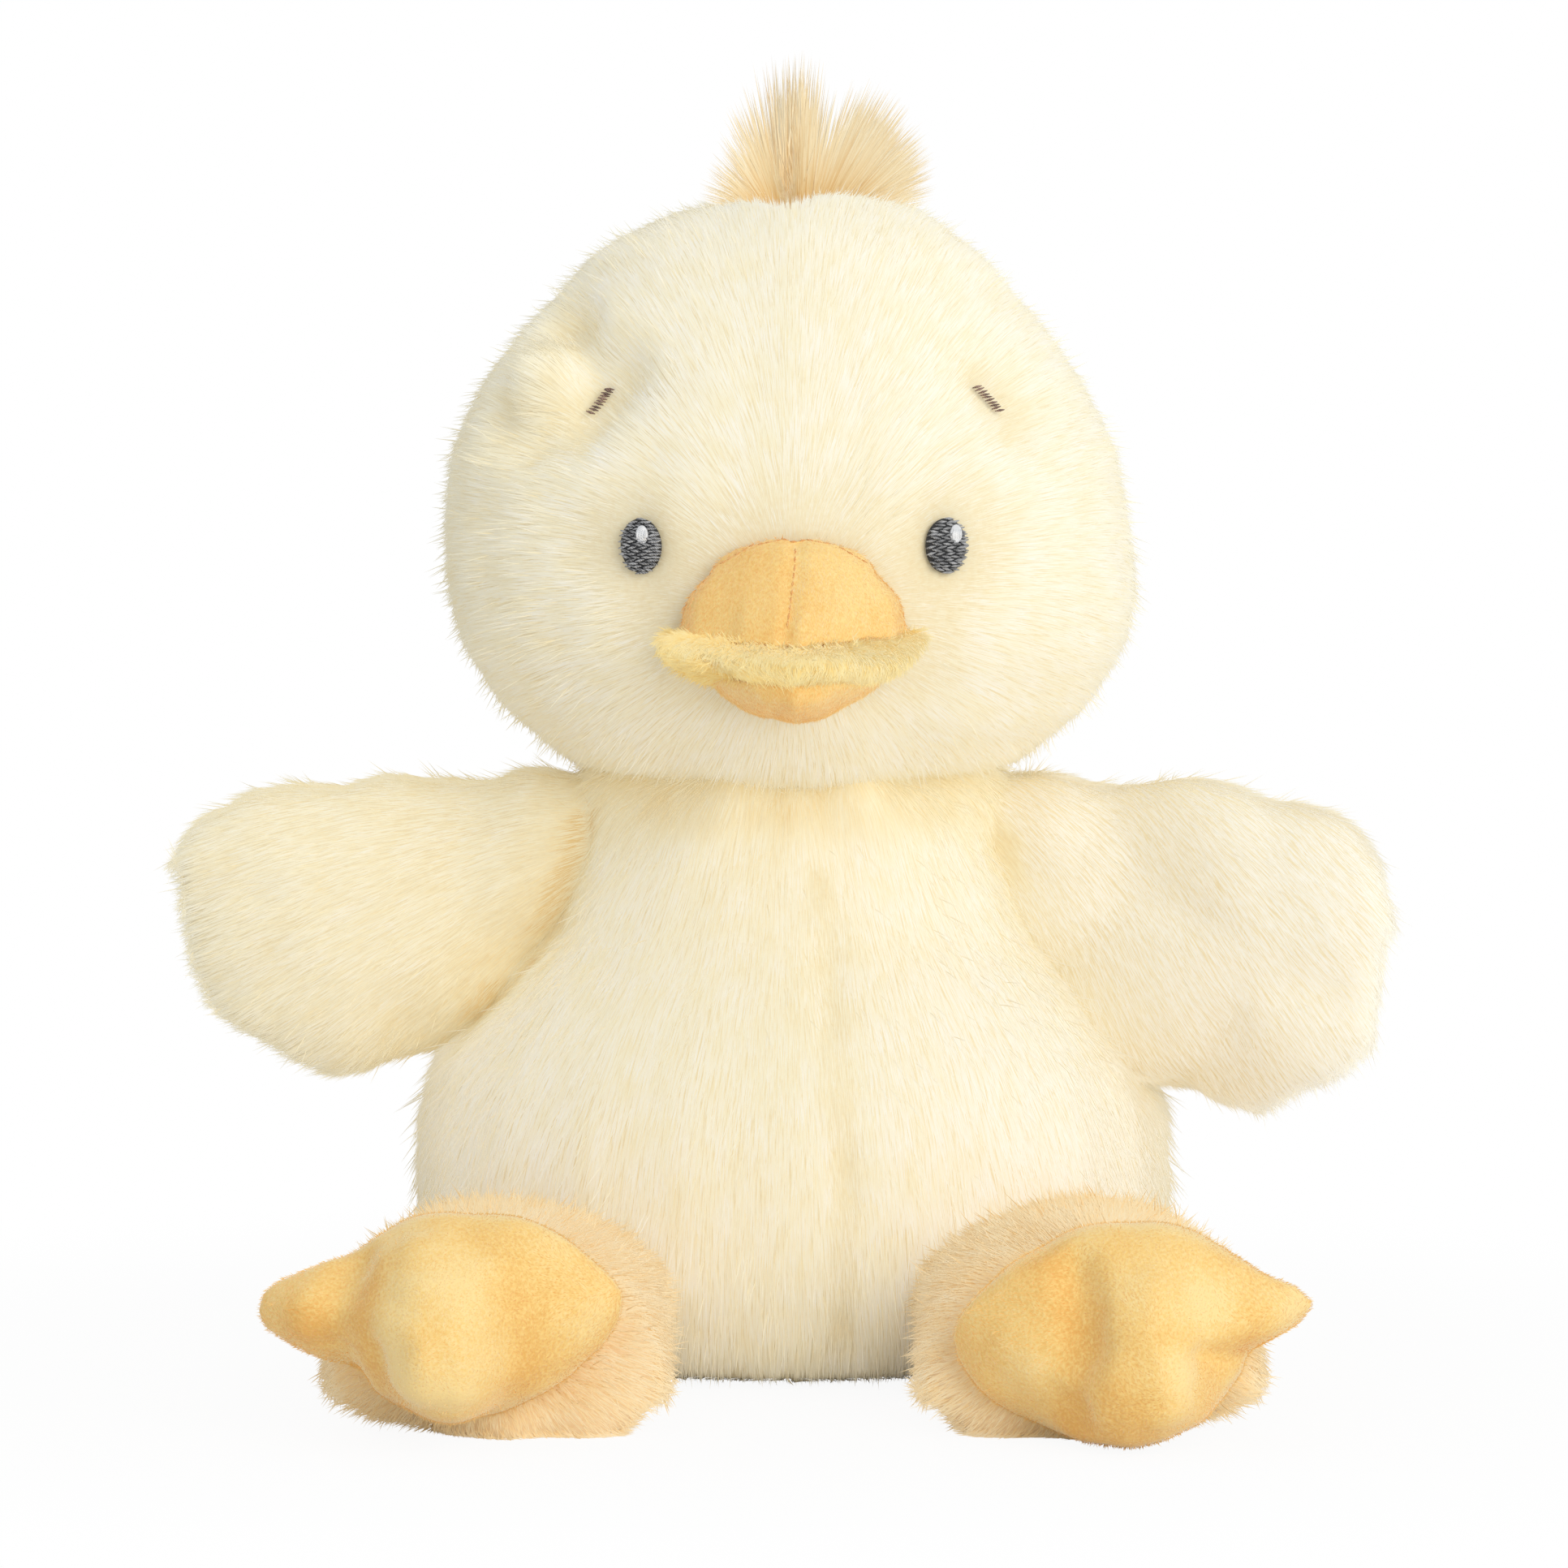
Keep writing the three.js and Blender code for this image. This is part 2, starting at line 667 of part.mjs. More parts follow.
// Wings: each hangs on the slanted seam where it is sewn to the side of the torso
function buildWing(parent, { side, droopDegrees, forwardDegrees }) {
  const name = side < 0 ? "right" : "left";
  const sideHere = (-frontOf(torsoShape, 0, wingSeamHeight) * torsoWidth) / torsoDepth;
  const pivot = new THREE.Vector3(side * sideHere, 0, wingSeamHeight);
  const seam = new THREE.Vector3(side * Math.sin(rad(wingSeamSlantDegrees)), 0, -Math.cos(rad(wingSeamSlantDegrees)));
  const group = hungGroup(`wing_${name}`, parent, pivot);
  const shape = {
    width: side * wingReach,
    length: wingTall,
    thickness: wingThickness,
    shares: wingOutlineShares,
    sides: bigSides,
    rings: midSteps,
  };
  const middle = wingReach / 2 - wingRootInset;
  const form = (inset) =>
    pillowForm(shape, inset)
      .rotateX(Math.PI / 2)
      .translate(side * middle, 0, wingRaise)
      .rotateY(rad(side * droopDegrees))
      .rotateZ(rad(-side * forwardDegrees))
      .translate(pivot.x, pivot.y, pivot.z);
  const torsoRoom = swept(
    turnedForm(torsoShape, -seamGap),
    pivot,
    seam,
    -wingFlapDegrees,
    wingFlapDegrees,
    6,
  );
  let room = torsoRoom;
  for (const flap of [-wingFlapDegrees, 0, wingFlapDegrees]) {
    room = room.add(solidOf(turned(geometryOf(headRoom), pivot, seam, flap)));
  }
  const outer = solidOf(form(0)).subtract(room);
  const wall = outer.subtract(solidOf(form(pileThickness)));
  const far = wingReach + cutterOverrun;
  const cutterOf = (from, to) =>
    solidOf(
      new THREE.BoxGeometry(2 * far, to - from, 2 * far)
        .translate(0, (from + to) / 2, 0)
        .rotateZ(rad(-side * forwardDegrees))
        .translate(pivot.x, pivot.y, pivot.z),
    );
  addPiece(group, `wing_${name}_front`, wall.intersect(cutterOf(-far, -seamGap / 2)), creamPlush);
  addPiece(group, `wing_${name}_back`, wall.intersect(cutterOf(seamGap / 2, far)), creamPlush);
  const stuffing = solidOf(form(pileThickness + seamGap)).subtract(room);
  addPiece(group, `wing_${name}_filling`, stuffing, fibreFilling);
}

// Legs and feet: the leg lies on the surface and swings at the seam on the torso's lower front
function buildLeg(parent, side) {
  const name = side < 0 ? "right" : "left";
  const across = (side * legSpacing) / 2;
  const axisHeight = legTall / 2 - legFlatDepth;
  const pivot = new THREE.Vector3(across, frontOf(torsoShape, across, axisHeight), axisHeight);
  const group = hungGroup(`leg_${name}`, parent, pivot);
  const shape = {
    width: legWidth,
    depth: legTall,
    height: legLength,
    shares: legProfileShares,
    sides: midSides,
    steps: midSteps,
  };
  const form = (inset) =>
    turnedForm(shape, inset)
      .rotateX(Math.PI / 2)
      .translate(across, legLength - legReach, axisHeight);
  const room = swept(turnedForm(torsoShape, -seamGap), pivot, X, -legDropDegrees, legRaiseDegrees, 6);
  const wide = legWidth + legReach + cutterOverrun;
  const under = block(new THREE.Vector3(-wide, -wide, -wide), new THREE.Vector3(wide, wide, 0));
  const outer = solidOf(form(0)).subtract(room).subtract(under);
  addPiece(group, `leg_${name}_skin`, outer.subtract(solidOf(form(pileThickness))), peachPlush);
  addPiece(group, `leg_${name}_filling`, solidOf(form(pileThickness + seamGap)).subtract(room), fibreFilling);
  buildFoot(group, name, across, axisHeight, solidOf(form(-seamGap)), footPoses.find((p) => p.side === side));
}

function buildFoot(group, name, across, axisHeight, leg, { side, outset, lead, rise, pitchDegrees, rollDegrees }) {
  const shape = {
    width: side * footWidth,
    length: footLength,
    thickness: footThickness,
    shares: footOutlineShares,
    sides: bigSides,
    rings: midSteps,
  };
  const place = (form) =>
    form
      .rotateZ(Math.PI)
      .rotateX(rad(pitchDegrees))
      .rotateY(rad(side * rollDegrees))
      .translate(across + side * outset, -legReach - lead, axisHeight + rise);
  const ground = block(
    new THREE.Vector3(-legReach * 2, -legReach * 3, -legReach),
    new THREE.Vector3(legReach * 2, legReach, seamGap),
  );
  const outer = solidOf(place(pillowForm(shape))).subtract(leg).subtract(ground);
  const wall = outer.subtract(solidOf(place(pillowForm(shape, velourThickness))));
  const far = footWidth + cutterOverrun;
  const sheet = (from, to) =>
    solidOf(place(new THREE.BoxGeometry(2 * far, 2 * far, to - from).translate(0, 0, (from + to) / 2)));
  addPiece(group, `foot_${name}_upper`, wall.intersect(sheet(seamGap / 2, far)), orangeVelour);
  addPiece(group, `foot_${name}_sole`, wall.intersect(sheet(-far, -seamGap / 2)), orangeVelour);
  const stuffing = solidOf(place(pillowForm(shape, velourThickness + seamGap))).subtract(leg).subtract(ground);
  addPiece(group, `foot_${name}_filling`, stuffing, fibreFilling);
}

const torso = buildTorso();
buildTail(torso);
const neck = buildNeck(torso);
buildHead(neck);
for (const pose of wingPoses) buildWing(torso, pose);
for (const side of [-1, 1]) buildLeg(torso, side);

export default root;
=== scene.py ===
# %% [markdown]
# # A plush duckling
# The toy is sewn from long-pile plush, velour and thread round soft filling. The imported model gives
# the solids, their sizes and the joints. It is loaded as a fixed frame, and every piece made here
# takes the place that one of its solids holds, in metres, with +Z up and the face towards -Y.
# Building on a frame keeps the looks and the moving parts in step: a piece that is moved by hand
# would soon miss its neighbour.
# %% Load the fixed frame
import math

import bpy
import numpy as np
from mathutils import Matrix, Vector


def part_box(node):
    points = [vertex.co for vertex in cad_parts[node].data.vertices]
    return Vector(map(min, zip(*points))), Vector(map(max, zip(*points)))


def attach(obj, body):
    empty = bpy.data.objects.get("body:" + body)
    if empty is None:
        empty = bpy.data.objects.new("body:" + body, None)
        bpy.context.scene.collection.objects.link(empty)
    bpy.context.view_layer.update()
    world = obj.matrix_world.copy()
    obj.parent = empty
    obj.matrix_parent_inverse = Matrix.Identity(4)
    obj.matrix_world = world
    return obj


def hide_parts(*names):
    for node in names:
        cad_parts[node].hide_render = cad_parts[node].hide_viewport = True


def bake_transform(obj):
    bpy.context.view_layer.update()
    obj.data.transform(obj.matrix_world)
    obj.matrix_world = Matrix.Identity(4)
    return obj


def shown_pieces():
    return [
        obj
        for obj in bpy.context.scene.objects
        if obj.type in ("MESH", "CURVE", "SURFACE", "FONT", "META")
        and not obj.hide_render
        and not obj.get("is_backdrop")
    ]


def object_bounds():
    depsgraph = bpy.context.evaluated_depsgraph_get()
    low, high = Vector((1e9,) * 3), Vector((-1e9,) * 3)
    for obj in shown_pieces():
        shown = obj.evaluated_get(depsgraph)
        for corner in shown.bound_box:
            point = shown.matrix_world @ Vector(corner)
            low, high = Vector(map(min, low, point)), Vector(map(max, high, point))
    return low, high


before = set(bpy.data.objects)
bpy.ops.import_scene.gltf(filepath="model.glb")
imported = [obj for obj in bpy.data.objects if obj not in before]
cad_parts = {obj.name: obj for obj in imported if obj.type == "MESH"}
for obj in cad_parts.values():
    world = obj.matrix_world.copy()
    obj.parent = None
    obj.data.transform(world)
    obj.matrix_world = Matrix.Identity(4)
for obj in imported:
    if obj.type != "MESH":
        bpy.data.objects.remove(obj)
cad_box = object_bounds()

MM = 0.001
toy_sides = [(high - low) / MM for low, high in zip(*cad_box)]
print(f"{len(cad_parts)} solids, {' x '.join(f'{side:.0f}' for side in toy_sides)} mm")

# %% [markdown]
# ## Camera, lamps and floor
# The photograph looks straight at the toy from a little above, from far away, so a long lens
# stands one and a half metres off. A short lens close by would swell the bill and the feet.
# %% Camera
camera_aim = Vector((-1.9, 0, 122)) * MM
camera_distance = 1500 * MM
camera_elevation = math.radians(3.8)
camera_data = bpy.data.cameras.new("photo_camera")
camera_data.sensor_width = 36
camera_data.lens = 163.5
camera = bpy.data.objects.new("photo_camera", camera_data)
towards_camera = Vector((0, -math.cos(camera_elevation), math.sin(camera_elevation)))
camera.location = camera_aim + camera_distance * towards_camera
camera.rotation_euler = (math.pi / 2 - camera_elevation, 0, 0)
bpy.context.scene.collection.objects.link(camera)
bpy.context.scene.camera = camera
bpy.context.scene.view_settings.view_transform = "Standard"
print("camera at", [round(value, 3) for value in camera.location])

# %% [markdown]
# One big soft lamp stands to the front right, as the bright side of the toy shows, and a weaker one
# fills the left. A third stands above and behind. Large lamps wrap light round the pile. Small ones
# would draw hard, dark shadows between its strands.
# %% Lamps
def soft_lamp(name, place, size, power, colour=(1, 1, 1)):
    """A square lamp that aims at the toy's middle, with place and size in metres."""
    lamp_data = bpy.data.lights.new(name, "AREA")
    lamp_data.shape = "SQUARE"
    lamp_data.size = size
    lamp_data.energy = power
    lamp_data.color = colour
    lamp = bpy.data.objects.new(name, lamp_data)
    lamp.location = place
    lamp.rotation_euler = (toy_middle - Vector(place)).to_track_quat("-Z", "Y").to_euler()
    bpy.context.scene.collection.objects.link(lamp)


toy_middle = Vector((0, 0, 0.12))
soft_lamp("key_lamp", (1.1, -1.6, 0.85), size=1.4, power=18.3, colour=(1, 0.98, 0.93))
soft_lamp("fill_lamp", (-1.2, -1.7, 0.35), size=1.6, power=0.8, colour=(0.95, 0.97, 1))
soft_lamp("top_lamp", (-0.1, 0.4, 1.9), size=1.4, power=3)

# %% [markdown]
# The background of the photograph is pure white. The world is white only to the camera and to
# reflections. To everything else it is a soft, slightly cool grey, which fills the toy's shadows
# without washing it out. The floor is partly lamp-lit round the toy, which leaves a faint shadow
# there, and turns fully white further out, so no horizon shows.
# %% White surroundings
class Recipe:
    """Adds nodes to a tree. Sockets are given by name or number, as a value or another's output."""

    def __init__(self, tree):
        self.nodes = tree.nodes
        self.links = tree.links
        self.nodes.clear()

    def add(self, kind, sockets=None, **settings):
        node = self.nodes.new(kind)
        for key, value in settings.items():
            setattr(node, key, value)
        for key, value in (sockets or {}).items():
            if isinstance(value, bpy.types.NodeSocket):
                self.links.new(value, node.inputs[key])
            else:
                node.inputs[key].default_value = value
        return node

    def sum(self, operation, first, second=0.0, third=0.5, clamp=False):
        """One step of arithmetic, which reads as many of the three values as it needs."""
        values = {0: first, 1: second, 2: third}
        step = self.add("ShaderNodeMath", values, operation=operation)
        step.use_clamp = clamp
        return step.outputs[0]


def blank(name):
    """A new material and the recipe for its tree."""
    material = bpy.data.materials.new(name)
    material.use_nodes = True
    return material, Recipe(material.node_tree)


def seen_directly(recipe):
    """1 where the camera, a reflection or a view through glass looks, 0 for the light itself."""
    path = recipe.add("ShaderNodeLightPath").outputs
    seen = recipe.sum("MAXIMUM", path["Is Camera Ray"], path["Is Glossy Ray"])
    return recipe.sum("MAXIMUM", seen, path["Is Transmission Ray"])


def end_white(recipe, share, lit, kind, output):
    """Ends a recipe with what is lit, turned white by share."""
    white = recipe.add(kind, {"Color": (1, 1, 1, 1), "Strength": 1.0})
    mix = recipe.add("ShaderNodeMixShader", {0: share, 1: lit.outputs[0], 2: white.outputs[0]})
    recipe.add(output, {"Surface": mix.outputs[0]})


world = bpy.data.worlds.new("white_room")
world.use_nodes = True
bpy.context.scene.world = world
room = Recipe(world.node_tree)
room_light = room.add("ShaderNodeBackground", {"Color": (0.965, 0.98, 1, 1), "Strength": 0.62})
end_white(room, seen_directly(room), room_light, "ShaderNodeBackground", "ShaderNodeOutputWorld")

floor_paint, paint = blank("floor_paint")
paint_lit = paint.add("ShaderNodeBsdfDiffuse", {"Color": (0.9, 0.9, 0.9, 1)})
floor_spot = paint.add("ShaderNodeTexCoord").outputs["Object"]
from_toy = paint.add("ShaderNodeVectorMath", {0: floor_spot}, operation="LENGTH").outputs["Value"]
spread = {"Value": from_toy, "From Min": 0.1, "From Max": 0.3, "To Min": 0.93, "To Max": 1.0}
whiter = paint.add("ShaderNodeMapRange", spread, interpolation_type="SMOOTHSTEP").outputs[0]
part_white = paint.sum("MULTIPLY", seen_directly(paint), whiter)
end_white(paint, part_white, paint_lit, "ShaderNodeEmission", "ShaderNodeOutputMaterial")
# The floor runs far back, so that its end lies behind the toy's middle and out of sight.
bpy.ops.mesh.primitive_plane_add(size=40, location=(0, 0, 0))
floor = bpy.context.object
floor.name = "floor"
floor.data.materials.append(floor_paint)
floor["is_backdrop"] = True
print("floor", tuple(round(side, 1) for side in floor.dimensions), "m")

# %% [markdown]
# ## Tools for shaping a skin by hand
# A hand-shaped skin is selected by place and then pushed, pulled or smoothed in edit mode. These
# helpers do the same in code: everything is deselected first, because an operator acts on all that
# is selected.
# %% Select by place
def only(*pieces):
    """Object mode, with just these pieces selected and the last of them active."""
    if bpy.context.object and bpy.context.object.mode != "OBJECT":
        bpy.ops.object.mode_set(mode="OBJECT")
    bpy.ops.object.select_all(action="DESELECT")
    for piece in pieces:
        piece.select_set(True)
    bpy.context.view_layer.objects.active = pieces[-1]


def made_with(operator, name, **settings):
    """What an operator adds, named, with its place and its turn written into its vertices."""
    bpy.ops.object.select_all(action="DESELECT")
    operator(**settings)
    piece = bpy.context.object
    piece.name = name
    bpy.ops.object.transform_apply(location=True, rotation=True, scale=True)
    return piece


def merged(name, *pieces):
    """One piece from several, each already where it belongs."""
    only(*pieces)
    if len(pieces) > 1:
        bpy.ops.object.join()
    piece = bpy.context.object
    piece.name = name
    piece.data.name = name
    return piece


def spots_of(piece):
    """The piece's vertices in mm, one row each."""
    spots = np.empty(len(piece.data.vertices) * 3, np.float32)
    piece.data.vertices.foreach_get("co", spots)
    return spots.reshape(-1, 3).astype(float) / MM


def put(piece, spots):
    """Moves the piece's vertices to these places in mm."""
    piece.data.vertices.foreach_set("co", (spots * MM).astype(np.float32).ravel())
    piece.data.update()


def lie_on_floor(piece, height=0.15):
    """What would pass through the floor is pressed flat on it."""
    spots = spots_of(piece)
    spots[:, 2] = np.maximum(spots[:, 2], height)
    put(piece, spots)


def faces(piece):
    return len(piece.data.polygons)


def edit(piece, chosen=None):
    """Edit mode, with the vertices selected that are True in chosen, or all of them."""
    only(piece)
    bpy.ops.object.mode_set(mode="EDIT")
    bpy.ops.mesh.select_mode(type="VERT")
    bpy.ops.mesh.select_all(action="SELECT" if chosen is None else "DESELECT")
    if chosen is not None:
        bpy.ops.object.mode_set(mode="OBJECT")
        piece.data.vertices.foreach_set("select", np.asarray(chosen, bool))
        bpy.ops.object.mode_set(mode="EDIT")


def done():
    bpy.ops.object.mode_set(mode="OBJECT")


def apart(spots, *routes):
    """How far each spot is from the nearest of these routes of straight stretches, in mm."""
    best = np.full(len(spots), np.inf)
    for route in routes:
        route = [np.array(point, float) for point in route]
        for start, end in zip(route, route[1:] or route):
            along = end - start
            share = ((spots - start) @ along) / max(along @ along, 1e-9)
            nearest = start + np.clip(share, 0, 1)[:, None] * along
            best = np.minimum(best, np.linalg.norm(spots - nearest, axis=1))
    return best


def bell(distance, width):
    """1 at no distance, less and less with it, and about a third at one width."""
    return np.exp(-((distance / width) ** 2))


def nearest_to(piece, point):
    """The piece's vertex nearest to a point, in mm."""
    spots = spots_of(piece)
    return spots[np.argmin(apart(spots, [point]))]


def falling_off(reach):
    """An operator's settings for moving neighbours too, less and less out to reach in mm."""
    settings = {"use_proportional_edit": True, "proportional_edit_falloff": "SMOOTH"}
    return settings | {"proportional_size": reach * MM}


def press(piece, route, width, depth, core=2.5):
    """Pushes a skin in along a route, in mm, deepest within core of it. Less than 0 pulls it out."""
    far = apart(spots_of(piece), route)
    edit(piece, far < max(core, far.min() + 0.1))
    bpy.ops.transform.shrink_fatten(value=-depth * MM, **falling_off(width))
    done()


def pull(piece, route, within, move, reach):
    """Moves what lies within so many mm of a route, and its neighbours out to reach less."""
    edit(piece, apart(spots_of(piece), route) < within)
    bpy.ops.transform.translate(value=Vector(move) * MM, **falling_off(reach))
    done()


def fit_outline(piece, middle, outline, fringe, share=1.0):
    """Widens a skin about its middle until it fills an outline seen from the front, less a fringe.

    The middle and the outline are across and up, in mm. share says how far each vertex follows."""
    sector = 0.06
    spots = spots_of(piece)
    middle = np.array(middle, float)
    flat = spots[:, [0, 2]] - middle
    angles = np.arctan2(flat[:, 1], flat[:, 0])
    radii = np.linalg.norm(flat, axis=1)
    ways = np.linspace(-math.pi, math.pi, 91)[:-1]
    turned = np.abs((angles[None] - ways[:, None] + math.pi) % (2 * math.pi) - math.pi)
    present = np.array([radii[row < sector].max(initial=0.0) for row in turned])
    goal = np.array(outline, float) - middle
    goal_angles = np.arctan2(goal[:, 1], goal[:, 0])
    goal_radii = np.linalg.norm(goal, axis=1) - fringe
    ways, present = ways[present > 0], present[present > 0]
    growth = np.interp(ways, goal_angles, goal_radii, period=2 * math.pi) / present
    for _ in range(2):
        growth = (np.roll(growth, 1) + 2 * growth + np.roll(growth, -1)) / 4
    change = (np.interp(angles, ways, growth, period=2 * math.pi) - 1) * share
    spots[:, [0, 2]] += flat * change[:, None]
    put(piece, spots)
    return float(np.abs(change * radii).max())


print("ready to shape")

# %% [markdown]
# ## Fabric skins
# Under its pile each part is a sewn bag that is stuffed full. A skin starts as a copy of the solids
# that it stands for, because these already have the right place and outline. They are merged into
# one closed net of even squares, which bends more like cloth than long thin faces do. Its facets
# are smoothed, and it is set in by the height that the pile will stand.
# %% Copy the solids into one skin
def skin_from(name, nodes, square, inset, smoothing):
    """One closed skin round these solids: squares of that size, inset for the pile, all in mm."""
    copies = []
    for node in nodes:
        copy = bpy.data.objects.new(name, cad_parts[node].data.copy())
        bpy.context.scene.collection.objects.link(copy)
        copies.append(copy)
    skin = merged(name, *copies)
    skin.data.materials.clear()
    edit(skin)
    bpy.ops.mesh.remove_doubles(threshold=0.00001)
    done()
    skin.data.remesh_voxel_size = square * MM
    skin.data.use_remesh_fix_poles = True
    bpy.ops.object.voxel_remesh()
    # What the merging closed in is deleted: every loose part but the widest.
    edit(skin)
    bpy.ops.mesh.separate(type="LOOSE")
    done()
    *inner, skin = sorted(bpy.context.selected_objects, key=lambda part: part.dimensions.length)
    for part in inner:
        bpy.data.objects.remove(part)
    skin.name = name
    edit(skin)
    bpy.ops.mesh.vertices_smooth(factor=0.5, repeat=smoothing)
    bpy.ops.transform.shrink_fatten(value=-inset * MM)
    done()
    return skin


print("skins are copied from the solids")

# %% [markdown]
# Stuffing pushes a skin out until its cloth is tight, and thread holds it back where an eye, a brow
# or a seam is sewn. A short cloth simulation does just that: air pressure inside, gravity off, and
# the sewn vertices held still. How far a vertex may move is capped, so the toy keeps its size.
# %% Stuff a skin
def stuff(skin, held, travel, pressure=4.0, moments=20):
    """Swells the skin as a filling does, by up to travel mm, with the vertices in held kept still."""
    before = spots_of(skin)
    sewn = skin.vertex_groups.new(name="sewn")
    sewn.add([int(index) for index in np.flatnonzero(held)], 1.0, "REPLACE")
    cloth = skin.modifiers.new("stuffing", "CLOTH")
    cloth.settings.vertex_group_mass = "sewn"
    cloth.settings.use_pressure = True
    cloth.settings.uniform_pressure_force = pressure
    cloth.settings.effector_weights.gravity = 0
    cloth.settings.quality = 4
    cloth.collision_settings.use_collision = False
    cloth.point_cache.frame_start = 1
    cloth.point_cache.frame_end = moments
    for moment in range(1, moments + 1):
        bpy.context.scene.frame_set(moment)
    only(skin)
    bpy.ops.object.modifier_apply(modifier=cloth.name)
    bpy.context.scene.frame_set(1)
    skin.vertex_groups.clear()
    moved = spots_of(skin) - before
    far = np.linalg.norm(moved, axis=1)
    put(skin, before + moved * (np.minimum(far, travel) / np.maximum(far, 1e-9))[:, None])
    return float(far.max())


def cover(skin, finish):
    """One subdivision, applied, for the roundness that cloth has, and the finish."""
    only(skin)
    smooth = skin.modifiers.new("finer", "SUBSURF")
    smooth.levels = 1
    smooth.render_levels = 1
    bpy.ops.object.modifier_apply(modifier=smooth.name)
    bpy.ops.object.shade_smooth()
    skin.data.materials.append(finish)


print("simulation", "on")

# %% [markdown]
# ## Pile
# Plush pile is thousands of soft fibres that lean the way they were brushed. It could be drawn as
# a bump on the skin, but then the outline stays hard, so the fibres are real here. One bent fibre
# is modelled from a cone of three sides, which keeps it at four faces, and geometry nodes scatter
# copies over a skin. The skin carries the brushing as attributes: which way the pile leans, how
# long, how thick and how pale. Each fibre turns its flat side outwards, so that it catches the
# lamps as the smooth skin would.
# %% One fibre
models = []


def model_strand(name, length, width, bend):
    """A thin closed sliver along +Z that bends towards -X, in mm, widest at a third of its length."""
    # A side of the cone's triangle is 1.732 times the radius of the circle round it.
    radius = width / 1.732 * MM
    strand = made_with(
        bpy.ops.mesh.primitive_cone_add,
        name,
        vertices=3,
        radius1=radius,
        radius2=0,
        depth=length * 0.67 * MM,
        location=(0, 0, length * 0.665 * MM),
        rotation=(0, 0, math.pi / 2),
    )
    spots = spots_of(strand)
    edit(strand, (spots[:, 2] < length * 0.5) & (spots[:, 0] < 0))
    bpy.ops.transform.translate(value=(radius, 0, -length * 0.33 * MM))
    done()
    edit(strand, spots[:, 2] > length * 0.9)
    bpy.ops.transform.translate(value=(-bend * MM, 0, -bend * 0.3 * MM))
    done()
    strand["length"] = length
    strand["width"] = width
    models.append(strand)
    return strand


long_strand = model_strand("long_strand", length=10.0, width=0.3, bend=0.5)
print("a fibre has", faces(long_strand), "faces")

# %% [markdown]
# The scattering tree gives every fibre its place, its lean and its length. A fibre leans by the sum
# of the skin's normal, the brushing direction, a slow noise that gathers neighbours into locks, and
# a little chance of its own. Most fibres lie flat in a calm coat, and a few stand up, which makes
# the fuzz of the outline. The fibres throw no shadow on each other: a real coat has a hundred times
# as many and far thinner ones, which pass the light on, and these few would look like dark straw.
# The skin under them throws the shadows. Each fibre also gets a tone, written as a place on a small
# colour chart: its column says how pale it is, and the height in the chart runs from root to tip.
# %% Scatter fibres over a skin
TONES = 48


def named(recipe, name, kind="FLOAT"):
    node = recipe.add("GeometryNodeInputNamedAttribute", {"Name": name}, data_type=kind)
    return node.outputs["Attribute"]


def joined(recipe, operation, *vectors):
    """Vectors put together one after the other."""
    total = vectors[0]
    for vector in vectors[1:]:
        step = recipe.add("ShaderNodeVectorMath", {0: total, 1: vector}, operation=operation)
        total = step.outputs[0]
    return total


def noise_at(recipe, spot, scale, detail=2.0):
    sockets = {"Vector": spot, "Scale": scale, "Detail": detail}
    return recipe.add("ShaderNodeTexNoise", sockets).outputs


def chance(recipe, low, high, seed, vector=False):
    """A random value of each fibre's own."""
    node = recipe.add("FunctionNodeRandomValue", data_type="FLOAT_VECTOR" if vector else "FLOAT")
    first = 0 if vector else 2
    node.inputs[first].default_value = (low,) * 3 if vector else low
    node.inputs[first + 1].default_value = (high,) * 3 if vector else high
    node.inputs["Seed"].default_value = seed
    return node.outputs[0 if vector else 1]


def stored(recipe, geometry, name, value, domain="POINT", kind="FLOAT"):
    sockets = {"Geometry": geometry, "Name": name, "Value": value}
    settings = {"domain": domain, "data_type": kind}
    return recipe.add("GeometryNodeStoreNamedAttribute", sockets, **settings).outputs[0]


